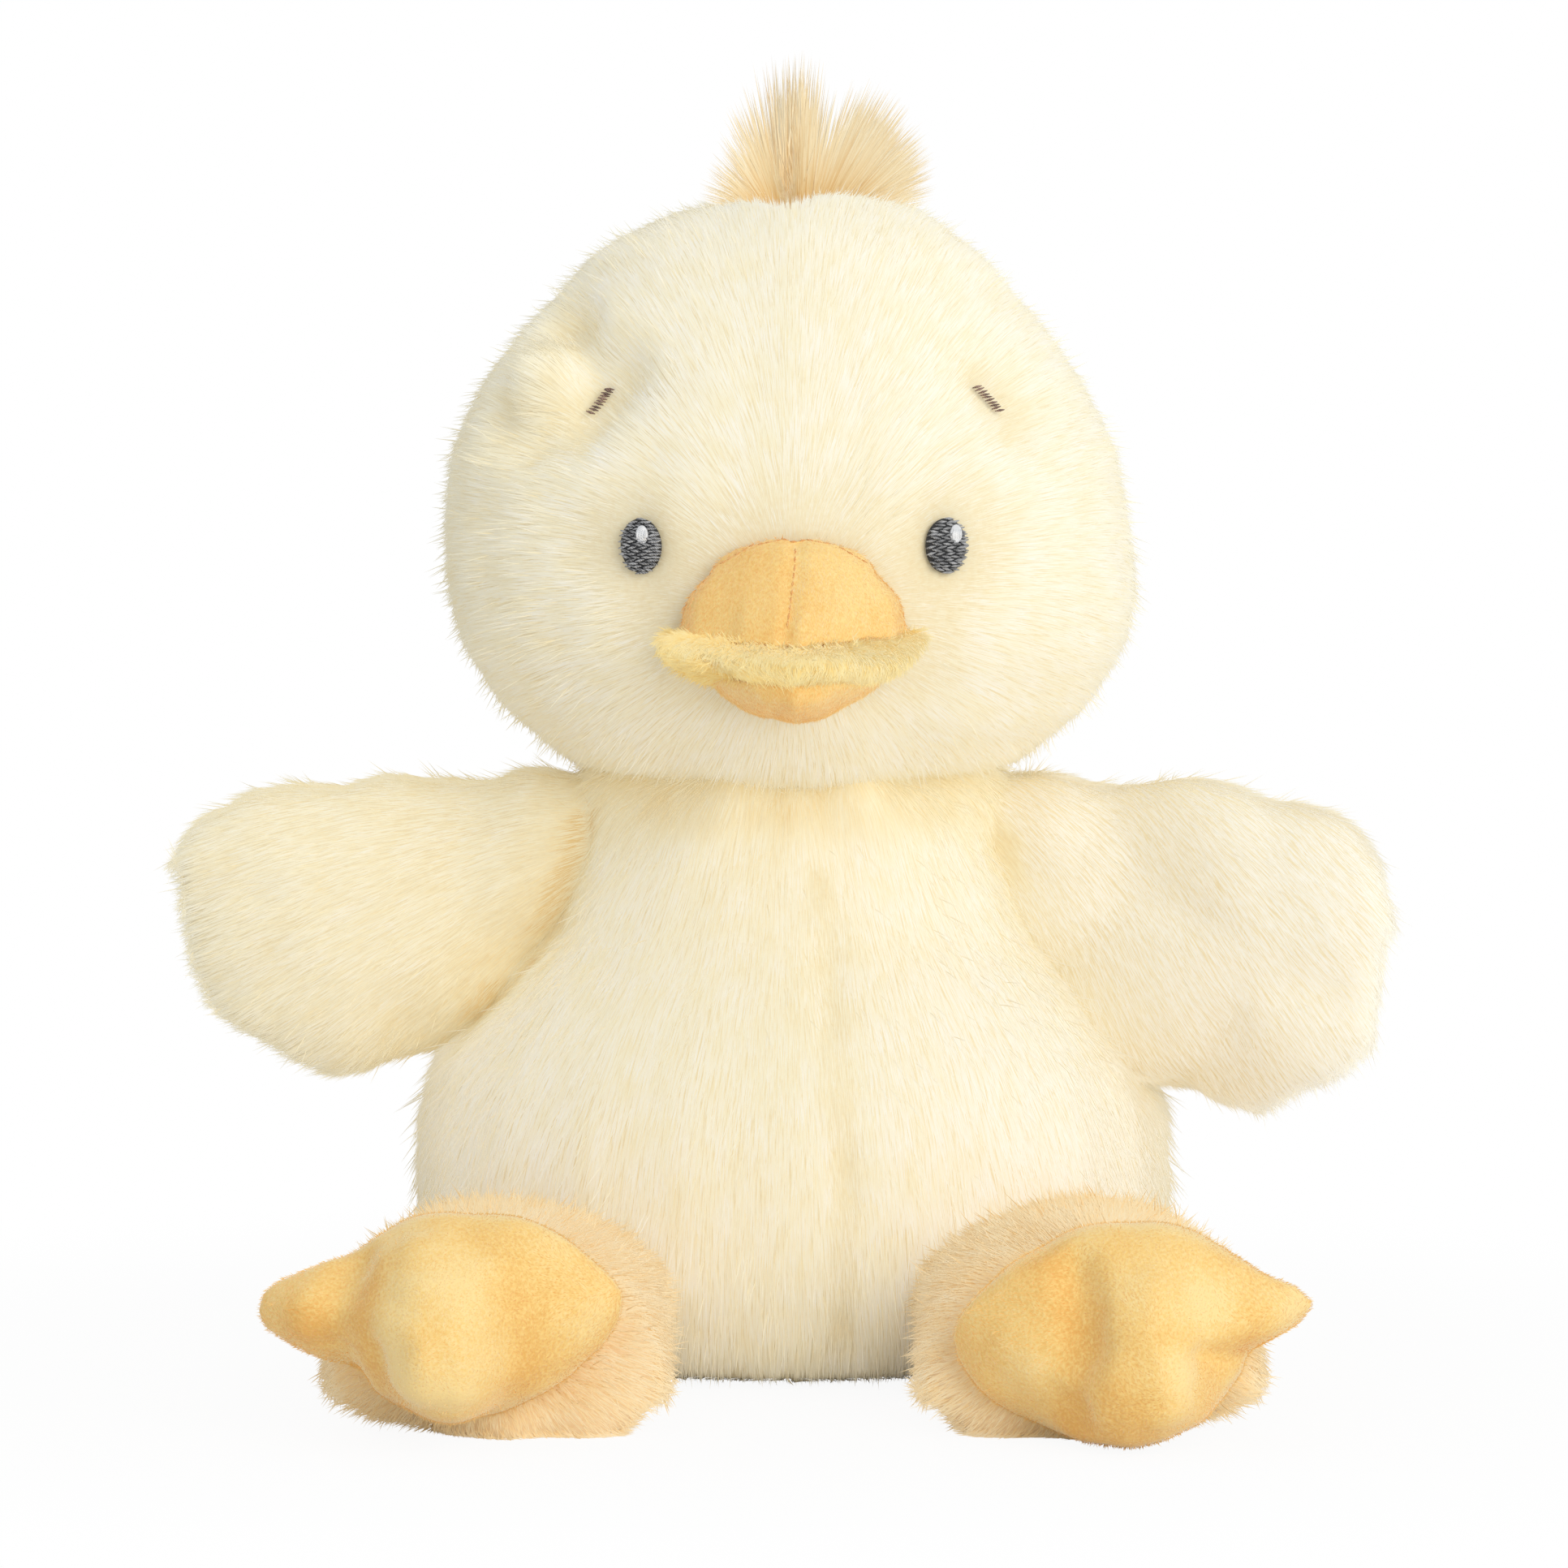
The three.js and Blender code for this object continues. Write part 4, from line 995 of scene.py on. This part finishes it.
short_strand = model_strand("short_strand", length=7.0, width=0.34, bend=0.4)
neck_skin = skin_from("neck_skin", ["neck_filling", "neck_stitching"], 1.6, 0.4, smoothing=3)
throat = nearest_to(neck_skin, (0, -60, 120))
pull(neck_skin, [throat], 5, (0, -5, 2), 16)
cover(neck_skin, cream_backing)
spots = brush(neck_skin, (0, 0, 150), fall=0.5, lean=1.5)
write(neck_skin, tone=0.6, reach=1, thick=np.abs(spots[:, 2] - 119) < 9)
neck_pile = grow("neck_pile", neck_skin, short_strand, 2.0, 52, cream_pile, stray=0.5)
ride_as(neck_skin, "neck", "cream_plush", "neck_filling", fill=0.9)
ride_as(neck_pile, "neck", "cream_plush", "neck_stitching")
print(f"tail: {faces(tail_skin)} faces, neck: {faces(neck_skin)} faces, throat at {throat.round(1)}")

# %% [markdown]
# ## Crest
# The crest is a tuft of long stiff fibres sewn into the crown. They fan out from one root, in bunches
# with gaps between. They grow from a narrow bud along the seam, and a short table says which way
# they stand at each place along it. Where the table jumps, the bunches part.
# %% Crest
crest_strand = model_strand("crest_strand", length=29.0, width=0.36, bend=1.2)
crest_root = np.array([3.0, -4.0, 241.8])
bud_shape = {"segments": 48, "ring_count": 32, "radius": MM, "location": crest_root * MM}
crest_bud = made_with(bpy.ops.mesh.primitive_uv_sphere_add, "crest_bud", **bud_shape)
edit(crest_bud)
bpy.ops.transform.resize(value=(15.0, 2.4, 3.6), center_override=crest_root * MM)
done()
bpy.ops.object.shade_smooth()
# Along the seam, from the toy's right to its left: which way the fibres stand, and how long they are.
places = [-12, -9, -6, -4.4, -3.8, -3.2, 0, 3.0, 3.4, 5.2, 5.8, 9, 12, 15, 18]
degrees = [-84, -66, -40, -26, -11, -6, -1, 2, 4, 22, 25, 37, 50, 64, 84]
lengths = [0.26, 0.36, 0.48, 0.68, 0.84, 0.9, 0.94, 0.88, 0.84, 0.82, 0.84, 0.76, 0.66, 0.52, 0.36]
thickness = [0.4, 0.45, 0.5, 0.45, 0.9, 1.0, 1.0, 1.0, 0.05, 0.05, 1.0, 1.0, 0.9, 0.8, 0.6]
spots = spots_of(crest_bud)
along = spots[:, 0]
leans = np.radians(np.interp(along, places, degrees))
# In front, the fibres beside the middle fall over the crown and part its edge in a small notch.
falling = bell(along + 1, 1.8) * (spots[:, 1] < crest_root[1] - 0.4)
forwards = (spots[:, 1] - crest_root[1]) * 0.12 - falling * 1.2
comb = np.stack([np.sin(leans), forwards, np.cos(leans) * (1 - 0.9 * falling)], axis=1)
reach = np.interp(along, places, lengths) * (1 - 0.62 * falling)
thick = (spots[:, 2] > crest_root[2]) * np.interp(along, places, thickness)
tone = 0.55 - 0.15 * bell(along, 2.5) - 0.45 * falling
write(crest_bud, comb=comb * 6, reach=reach, thick=thick, tone=tone)
crest_tones = ("#E9C794", "#F5DDAF", "#FAE7C0", "#FFF2D2")
crest_pile = pile_finish("crest_pile", crest_tones, "#F1D9B4", places=(0.0, 0.35, 0.65, 1.0))
crest_tuft = grow("crest_tuft", crest_bud, crest_strand, 17.0, 61, crest_pile, (1.4, 1.4), 0.4, 0.35)
crest_bud.data.materials.append(backing_finish("crest_backing", "#E8C796", "#D9B488"))
ride_as(crest_bud, "head", "crest_plush")
ride_as(crest_tuft, "head", "crest_plush", "crest")

# %% [markdown]
# ## Bill
# The upper bill is two panels of velour, sewn together down the middle and to the face all round.
# Velour is short and dense: from here it is a soft grain with a pale sheen, and only its edge
# shows single fibres, so its finish does most of the work and a thin fuzz does the rest. The brim
# is shaggier and paler, and hangs like a lip between the two.
# %% Finish of velour
def velour_finish(name, pale, middle, deep):
    """Short pile: patches where it lies one way or the other, and a grain of single tufts. The
    skin's painted sheen and light, from 0 to 1, paints it deeper or paler."""
    material, finish = blank(name)
    spot = finish.add("ShaderNodeTexCoord").outputs["Object"]
    patches = noise_at(finish, spot, 75, 3)["Fac"]
    grain = noise_at(finish, spot, 1500)["Fac"]
    nap = finish.add("ShaderNodeAttribute", attribute_name="nap").outputs["Fac"]
    share = finish.sum("ADD", mixed(finish, grain, patches, 0.55), finish.sum("MULTIPLY", nap, 0.3))
    colour = ramp(finish, share, (0.46, 0.63, 0.8), (deep, middle, pale))
    look = {"Roughness": 0.8, "Sheen Weight": 0.45, "Sheen Roughness": 0.4}
    look["Specular IOR Level"] = 0.15
    surfaced(finish, colour, look, relief=(grain, 0.35, 0.0005))
    return material


bill_velour = velour_finish("bill_velour", "#FEDF97", "#FBD385", "#F3BE6C")
print("finish:", bill_velour.name)
# %% Bill forms
upper_nodes = ["bill_upper_right", "bill_upper_left", "bill_filling"]
bill_upper = skin_from("bill_upper_velour", upper_nodes, 1.1, 0.1, smoothing=3)
for side in (-1, 1):
    pull(bill_upper, [(side * 20, -62, 157)], 3.5, (side * 2.5, 0, -0.8), 9)
    pull(bill_upper, [(side * 15, -62, 167)], 4, (side * 1.3, 0, 0.7), 9)
pull(bill_upper, [(0, -60, 173)], 5, (0, 0, 2.2), 14)
bill_seam = drawn(bill_upper, [(0.4, 175), (0.2, 170), (-0.6, 163), (-1.4, 156)])
press(bill_upper, bill_seam, 3.0, 1.0, core=0.7)
swell = stuff(bill_upper, apart(spots_of(bill_upper), bill_seam) < 1.5, travel=0.8)
cover(bill_upper, bill_velour)
bill_lower = skin_from("bill_lower_velour", ["bill_lower"], 1.2, 0.3, smoothing=5)
lower_outline = [(18.9, 147.1), (15.5, 144.4), (10.2, 141.2), (3.0, 138.2), (-4.0, 138.9)]
lower_outline += [(-11.6, 141.4), (-16.8, 146.2)]
hanging = np.clip((148 - spots_of(bill_lower)[:, 2]) / 3, 0, 1)
fit_outline(bill_lower, (0.5, 149), lower_outline, 0.3, hanging)
cover(bill_lower, bill_velour)
bill_brim = skin_from("bill_brim_roll", ["bill_brim"], 1.2, 0.2, smoothing=4)
for place, move in (((-20, 149.5), (-2, 0, -1.5)), ((20, 152), (0, 0, -2))):
    brim_end = spots_of(bill_brim)[nearest_seen(bill_brim, *place)]
    pull(bill_brim, [brim_end], 3, move, 9)
cover(bill_brim, backing_finish("brim_backing", "#F5E2A4", "#EBCB85"))
ride_as(bill_upper, "head", "orange_velour", *upper_nodes, fill=0.8)
ride_as(bill_lower, "head", "orange_velour", "bill_lower", fill=0.7)
ride_as(bill_brim, "head", "brim_plush", fill=0.6)
print("bill forms:", [faces(piece) for piece in (bill_upper, bill_lower, bill_brim)])
# %% Bill pile
brim_pile = pile_finish("brim_pile", ("#F2CC78", "#FBDF92", "#FEEBAC", "#FFF3C8"), "#F9E4B6")
brim_strand = model_strand("brim_strand", length=3.4, width=0.22, bend=0.7)
brim_fall = np.interp(spots_of(bill_brim)[:, 0], [-16, 8], [0.6, 2.4])
spots = brush(bill_brim, (0, -50, 160), fall=brim_fall, lean=1.4)
# The brim's pile is painted paler upwards and deeper at its lower edge, as painted shade, and paler on
# the toy's left half, as painted light.
tone = np.clip(0.5 + (spots[:, 2] - 150) / 40, 0.3, 0.8) + np.interp(spots[:, 0], [0, 12], [0, 0.15])
write(bill_brim, tone=tone, reach=1, thick=1)
brim_fur = grow("bill_brim_pile", bill_brim, brim_strand, 7.5, 71, brim_pile, (3.0, 2.0), 0.35)
ride_as(brim_fur, "head", "brim_plush", "bill_brim")
velour_tones = ("#EDB060", "#F8C775", "#FDD78C", "#FFEAB4")
velour_pile = pile_finish("velour_pile", velour_tones, "#F3C98C", sheen=0.4)
velour_strand = model_strand("velour_strand", length=1.3, width=0.15, bend=0.15)
# Painted light and shade: the upper bill is painted paler on the toy's left half, which faces the lamp,
# and the lower bill deeper in its middle, under the brim.
upper_nap = 0.42 + 0.2 * (spots_of(bill_upper)[:, 0] > 0)
lower_nap = 0.8 - 0.3 * bell(spots_of(bill_lower)[:, 0], 9)
for skin, name, nap, fall, per_mm2, seed in (
    (bill_upper, "bill_upper_fuzz", upper_nap, 0.6, 5.0, 72),
    (bill_lower, "bill_lower_fuzz", lower_nap, 4.0, 7.0, 73),
):
    brush(skin, (0, -45, 168), fall, lean=2.0)
    write(skin, nap=nap, tone=nap + 0.1, reach=1, thick=normals_of(skin)[:, 1] < 0.5)
    fuzz = grow(name, skin, velour_strand, per_mm2, seed, velour_pile, (5, 1.0), 0.4)
    ride_as(fuzz, "head", "orange_velour")

# %% [markdown]
# ## Feet
# Each foot is a webbed pad of velour with three soft toes, sewn from an upper and a sole. Furrows
# part the toes and ridges run out along them. Velour looks brighter or duller by the way its pile
# lies, and that sheen is painted: short lines on each foot say where it is painted paler or deeper,
# and the rim is painted paler as a sheen.
# %% Feet
foot_velour = velour_finish("foot_velour", "#FFE29E", "#FBD485", "#F0BC6A")
right_foot = [(-105.8, 27.7), (-103.1, 32.5), (-98.3, 33.7), (-87.7, 37.8), (-80.6, 41.9)]
right_foot += [(-62.9, 45.1), (-48.7, 43.7), (-39.3, 37.8), (-32.8, 30.7), (-34.6, 22.5), (-44, 11.8)]
right_foot += [(-53.5, 7), (-62.9, 4.9), (-74.7, 6.8), (-86.5, 12.4), (-94.8, 17.7), (-104.2, 23)]
left_foot = [(102, 24.8), (101.7, 30.1), (94, 33), (84.6, 39), (65.6, 43.7), (48, 39), (31, 22.5)]
left_foot += [(30.9, 16.6), (35, 9.4), (45.6, 3.4), (58.6, 1.1), (75.1, 3.4), (84.6, 8.2), (89.3, 14.1)]
left_foot += [(89.3, 19.6), (96.4, 20.7)]
right_lines = {
    "furrows": [[(-85.5, 37), (-88.5, 31), (-90, 24), (-89, 17), (-87, 11)]],
    "ridges": [[(-76.5, 37), (-75.5, 24), (-74.5, 17)]],
    "bright": [[(-76.5, 33), (-75.5, 14)], [(-66, 34), (-66, 12)], [(-42, 24)]],
    "dull": [[(-53, 30), (-52, 14)], [(-95, 24)], [(-83, 30), (-82, 16)]],
}
left_lines = {
    "furrows": [[(54.5, 36), (56.5, 21), (54.5, 6)]],
    "ridges": [[(72, 30), (72, 12)], [(46, 17)]],
    "bright": [[(46, 17)], [(75, 18)], [(80, 31)], [(98, 27)]],
    "dull": [[(50, 36), (57, 22), (54, 5)], [(66, 10)], [(88, 20)]],
}
for side, middle, outline, lines, seed in (
    ("right", (-68, 25), right_foot, right_lines, 81),
    ("left", (66, 22), left_foot, left_lines, 83),
):
    name, body = f"foot_{side}", f"leg_{side}"
    nodes = [f"{name}_upper", f"{name}_sole", f"{name}_filling"]
    foot = skin_from(f"{name}_velour", nodes, 1.8, 0.3, smoothing=5)
    fit_outline(foot, middle, outline, 0.3)
    lie_on_floor(foot)
    for furrow in lines["furrows"]:
        press(foot, drawn(foot, furrow), 7, 2.8, core=1.2)
    for ridge in lines["ridges"]:
        press(foot, drawn(foot, ridge), 8, -1.6)
    furrow_gap = apart(spots_of(foot), *[drawn(foot, furrow) for furrow in lines["furrows"]])
    swell = stuff(foot, furrow_gap < 2.5, travel=1.2)
    cover(foot, foot_velour)
    spots = brush(foot, (np.mean(spots_of(foot)[:, 0]), -90, 22), lean=2.0)
    # Painted sheen: the velour is paler along the bright lines and deeper along the dull ones, and
    # paler on the rim, which turns away from the front.
    nap = np.full(len(spots), 0.5)
    for lie, change in (("bright", 0.45), ("dull", -0.45)):
        for line in lines[lie]:
            nap += change * bell(apart(spots, drawn(foot, line)), 6)
    nap += np.clip((normals_of(foot)[:, 1] + 0.45) / 0.3, 0, 1) * 0.4
    nap = np.clip(nap, 0, 1)
    write(foot, nap=nap, tone=0.25 + 0.6 * nap, reach=1, thick=1)
    fuzz = grow(f"{name}_fuzz", foot, velour_strand, 2.5, seed, velour_pile, (6, 1.2), 0.4)
    ride_as(foot, body, "orange_velour", *nodes, fill=0.8)
    ride_as(fuzz, body, "orange_velour")
    print(f"{name}: {faces(foot)} faces, swelled {swell:.1f} mm")

# %% [markdown]
# ## Eyes and brows
# The eyes are embroidered over black padding: rows of short grey stitches fill an oval, each row set
# half a stitch off the one below, so the edge is ragged and the padding shows between. One stitch is
# modelled as a short rounded thread and copied along the rows. The glint is a small white pad with
# four upright stitches on it, and each brow is one bunch of slanting brown stitches.
# %% One stitch
def model_stitch(name, length, thick):
    """A short thread lying along X, rounded at both ends and fattest in the middle, in mm."""
    rod = {"vertices": 6, "radius": thick / 2 * MM, "depth": length * MM}
    lying = (0, math.pi / 2, 0)
    stitch = made_with(bpy.ops.mesh.primitive_cylinder_add, name, rotation=lying, **rod)
    for end in (-1, 1):
        edit(stitch, spots_of(stitch)[:, 0] * end > length * 0.4)
        middle = Vector((end * length / 2, 0, 0)) * MM
        bpy.ops.transform.resize(value=(1, 0.45, 0.45), center_override=middle)
        done()
    edit(stitch)
    bpy.ops.mesh.subdivide(number_cuts=1, smoothness=0.6)
    done()
    bpy.ops.object.shade_smooth()
    models.append(stitch)
    return stitch


def sew(name, stitch, thread, rows, *pads):
    """Copies of a stitch in one thread as one piece, with the pads that they cover. Each row is a
    stitch's middle, its way and what it lies on, in mm."""
    copies = []
    for middle, way, outwards in rows:
        copy = bpy.data.objects.new(name, stitch.data.copy())
        bpy.context.scene.collection.objects.link(copy)
        along = Vector(way).normalized()
        up = Vector(outwards).normalized()
        up = (up - along * up.dot(along)).normalized()
        for column, vector in enumerate([along, up.cross(along), up]):
            for row in range(3):
                copy.matrix_world[row][column] = vector[row]
        copy.matrix_world.translation = Vector(middle) * MM
        copies.append(copy)
    only(*copies)
    bpy.ops.object.transform_apply(location=True, rotation=True, scale=True)
    threads = merged(name, *copies)
    threads.data.materials.append(thread)
    return merged(name, threads, *pads)


def oval_pad(halves, place, basis, finish):
    """A cushion of padding stitches, flatter than a ball: halves are across, deep and upwards."""
    ball = {"segments": 28, "ring_count": 14, "radius": MM}
    pad = made_with(bpy.ops.mesh.primitive_uv_sphere_add, "pad", **ball)
    edit(pad)
    bpy.ops.transform.resize(value=halves)
    done()
    put(pad, spots_of(pad) @ basis + place)
    edit(pad)
    bpy.ops.mesh.normals_make_consistent(inside=False)
    done()
    bpy.ops.object.shade_smooth()
    pad.data.materials.append(finish)
    return pad


eye_stitch = model_stitch("eye_stitch", length=2.1, thick=0.4)
glint_stitch = model_stitch("glint_stitch", length=2.0, thick=0.4)
print("a stitch has", faces(eye_stitch), "faces")
# %% Finish of thread
def thread_finish(name, dark, pale, roughness=0.4):
    """Shiny embroidery thread: darker and paler lengths of it, twisted fine. The pale end and the
    twist's paler bands are partly painted sheen.
    """
    material, finish = blank(name)
    spot = finish.add("ShaderNodeTexCoord").outputs["Object"]
    lengths = noise_at(finish, spot, 700, 1)["Fac"]
    wave = {"Vector": spot, "Scale": 1400.0, "Distortion": 1.0}
    twist = finish.add("ShaderNodeTexWave", wave, bands_direction="DIAGONAL").outputs["Fac"]
    colour = ramp(finish, mixed(finish, twist, lengths, 0.3), (0.3, 0.7), (dark, pale))
    look = {"Roughness": roughness, "Sheen Weight": 0.15}
    surfaced(finish, colour, look, relief=(twist, 0.4, 0.0001))
    return material


# The grey thread's pale end is painted sheen of the satin eye stitches.
grey_thread = thread_finish("grey_thread_shine", "#3C3D40", "#BDBEC0", roughness=0.35)
black_padding = thread_finish("black_padding", "#0C0D10", "#26272B", roughness=0.6)
white_thread = thread_finish("white_thread_shine", "#CFD2D6", "#FFFFFF")
brown_thread = thread_finish("brown_thread_shine", "#3F2A22", "#A9897A")
print("threads:", grey_thread.name, white_thread.name, brown_thread.name)
# %% Embroidered eyes
EYE_HALVES = (4.6, 5.7)
PAD_DEPTH = 1.5
ROW_PITCH = 0.64
STITCH_PITCH = 2.3
ragged = np.random.default_rng(7)
for name in ("right", "left"):
    low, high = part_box(f"eye_{name}")
    centre_x, centre_z = (low.x + high.x) / 2 / MM, (low.z + high.z) / 2 / MM
    place, outwards = on_front(head_skin, centre_x, centre_z)
    place = place + outwards / np.linalg.norm(outwards) * 0.9
    across = np.cross([0.0, 0.0, 1.0], -outwards)
    across /= np.linalg.norm(across)
    upwards = np.cross(outwards, across)
    upwards *= np.sign(upwards[2])
    basis = np.stack([across, outwards, upwards])
    halves = (EYE_HALVES[0] - 0.1, PAD_DEPTH, EYE_HALVES[1] - 0.1)
    eye_pad = oval_pad(halves, place, basis, black_padding)
    rows = []
    for row, rise in enumerate(np.arange(-EYE_HALVES[1] + 0.3, EYE_HALVES[1] - 0.1, ROW_PITCH)):
        half = EYE_HALVES[0] * math.sqrt(max(1 - (rise / EYE_HALVES[1]) ** 2, 0.05))
        shift = STITCH_PITCH / 2 if row % 2 else 0.0
        for slip in np.arange(-half + shift - 0.8, half, STITCH_PITCH):
            slip = float(np.clip(slip + ragged.uniform(-0.25, 0.25), -half + 0.8, half - 0.8))
            bulge = max(1 - (slip / 4.8) ** 2 - (rise / 5.9) ** 2, 0.02)
            lift = PAD_DEPTH * math.sqrt(bulge) + 0.12
            middle = place + across * slip + upwards * rise + outwards * lift
            tilt = ragged.uniform(-0.12, 0.12) + (0.16 if row % 2 else -0.16)
            rows.append((middle, across + upwards * tilt + outwards * (-slip / 14), outwards))
    eye = sew(f"eye_embroidery_{name}", eye_stitch, grey_thread, rows, eye_pad)
    ride_as(eye, "head", "grey_thread", f"eye_{name}")
    glint_low, glint_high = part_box(f"eye_highlight_{name}")
    glint = (glint_low + glint_high) / 2 / MM
    slip = (glint.x - centre_x) * np.sign(across[0])
    middle = place + across * slip + upwards * (glint.z - centre_z) + outwards * 1.35
    glint_pad = oval_pad((1.35, 0.55, 1.9), middle, basis, white_thread)
    starts = [middle + across * step + outwards * 0.42 for step in (-0.8, -0.27, 0.27, 0.8)]
    rows = [(start, upwards - across * 0.15, outwards) for start in starts]
    glint_piece = sew(f"eye_glint_{name}", glint_stitch, white_thread, rows, glint_pad)
    ride_as(glint_piece, "head", "white_thread", f"eye_highlight_{name}")
    print(f"eye_{name}: {faces(eye)} faces")
# %% Brows
brow_stitch = model_stitch("brow_stitch", length=2.0, thick=0.42)
for side, name in ((-1, "right"), (1, "left")):
    low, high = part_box(f"brow_{name}")
    heights = (low.z, high.z) if side < 0 else (high.z, low.z)
    start, end = np.array([[low.x, heights[0]], [high.x, heights[1]]]) / MM
    rows = []
    for share in np.linspace(0, 1, 10):
        x, z = start * (1 - share) + end * share
        spot, outwards = on_front(head_skin, x + ragged.uniform(-0.2, 0.2), z)
        slant = np.array([0.61 * side, 0, 0.13 + ragged.uniform(-0.1, 0.1)])
        rows.append((spot + outwards * 1.6, slant, outwards))
    brow = sew(f"brow_embroidery_{name}", brow_stitch, brown_thread, rows)
    ride_as(brow, "head", "brown_thread", f"brow_{name}")
    print(f"brow_{name}: {faces(brow)} faces")

# %% [markdown]
# ## Seams
# Where two panels meet, thread shows as a row of small stitches that sink into the pile: down the
# middle of the upper bill and round its edge. They follow the skin that they hold, so each row is
# laid on the skin's own surface.
# %% Rows of stitches
seam_thread = thread_finish("seam_thread_shine", "#D98E45", "#F2BC78", roughness=0.5)
seam_stitch = model_stitch("seam_stitch", length=1.5, thick=0.34)


def run_of(skin, line, pitch):
    """Stitches every pitch along a line of places across and up: where, which way, on what."""
    route = np.array(line, float)
    steps = np.linalg.norm(np.diff(route, axis=0), axis=1)
    marks = np.concatenate([[0], np.cumsum(steps)])
    rows = []
    for far in np.arange(pitch / 2, marks[-1], pitch):
        here, ahead = [[np.interp(f, marks, axis) for axis in route.T] for f in (far, far + 0.5)]
        spot, outwards = on_front(skin, *here)
        way = on_front(skin, *ahead)[0] - spot
        if np.linalg.norm(way) > 1e-6:
            rows.append((spot, way, outwards))
    return rows


middle_run = run_of(bill_upper, [(0.4, 174), (0.2, 170), (-0.6, 163), (-1.4, 157.5)], 1.6)
edge_line = [(-23, 158), (-21, 164), (-16.2, 169.8), (-8.6, 174.2), (0, 176)]
edge_line += [(8.6, 174.4), (16.2, 170), (21, 164), (23, 158)]
edge_run = run_of(bill_upper, edge_line, 1.7)
bill_threads = sew("bill_seam_threads", seam_stitch, seam_thread, middle_run + edge_run)
ride_as(bill_threads, "head", "seam_thread")
print(f"bill seams: {faces(bill_threads)} faces")

# %% [markdown]
# ## Finish the scene
# The strands and stitches that were only copied from are taken out, and the triangles of all that
# shows are counted.
# %% Tidy, measure and finish
for model in models:
    bpy.data.objects.remove(model)
total = 0
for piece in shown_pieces():
    piece.data.calc_loop_triangles()
    total += len(piece.data.loop_triangles)
print(f"triangles in all: {total}")
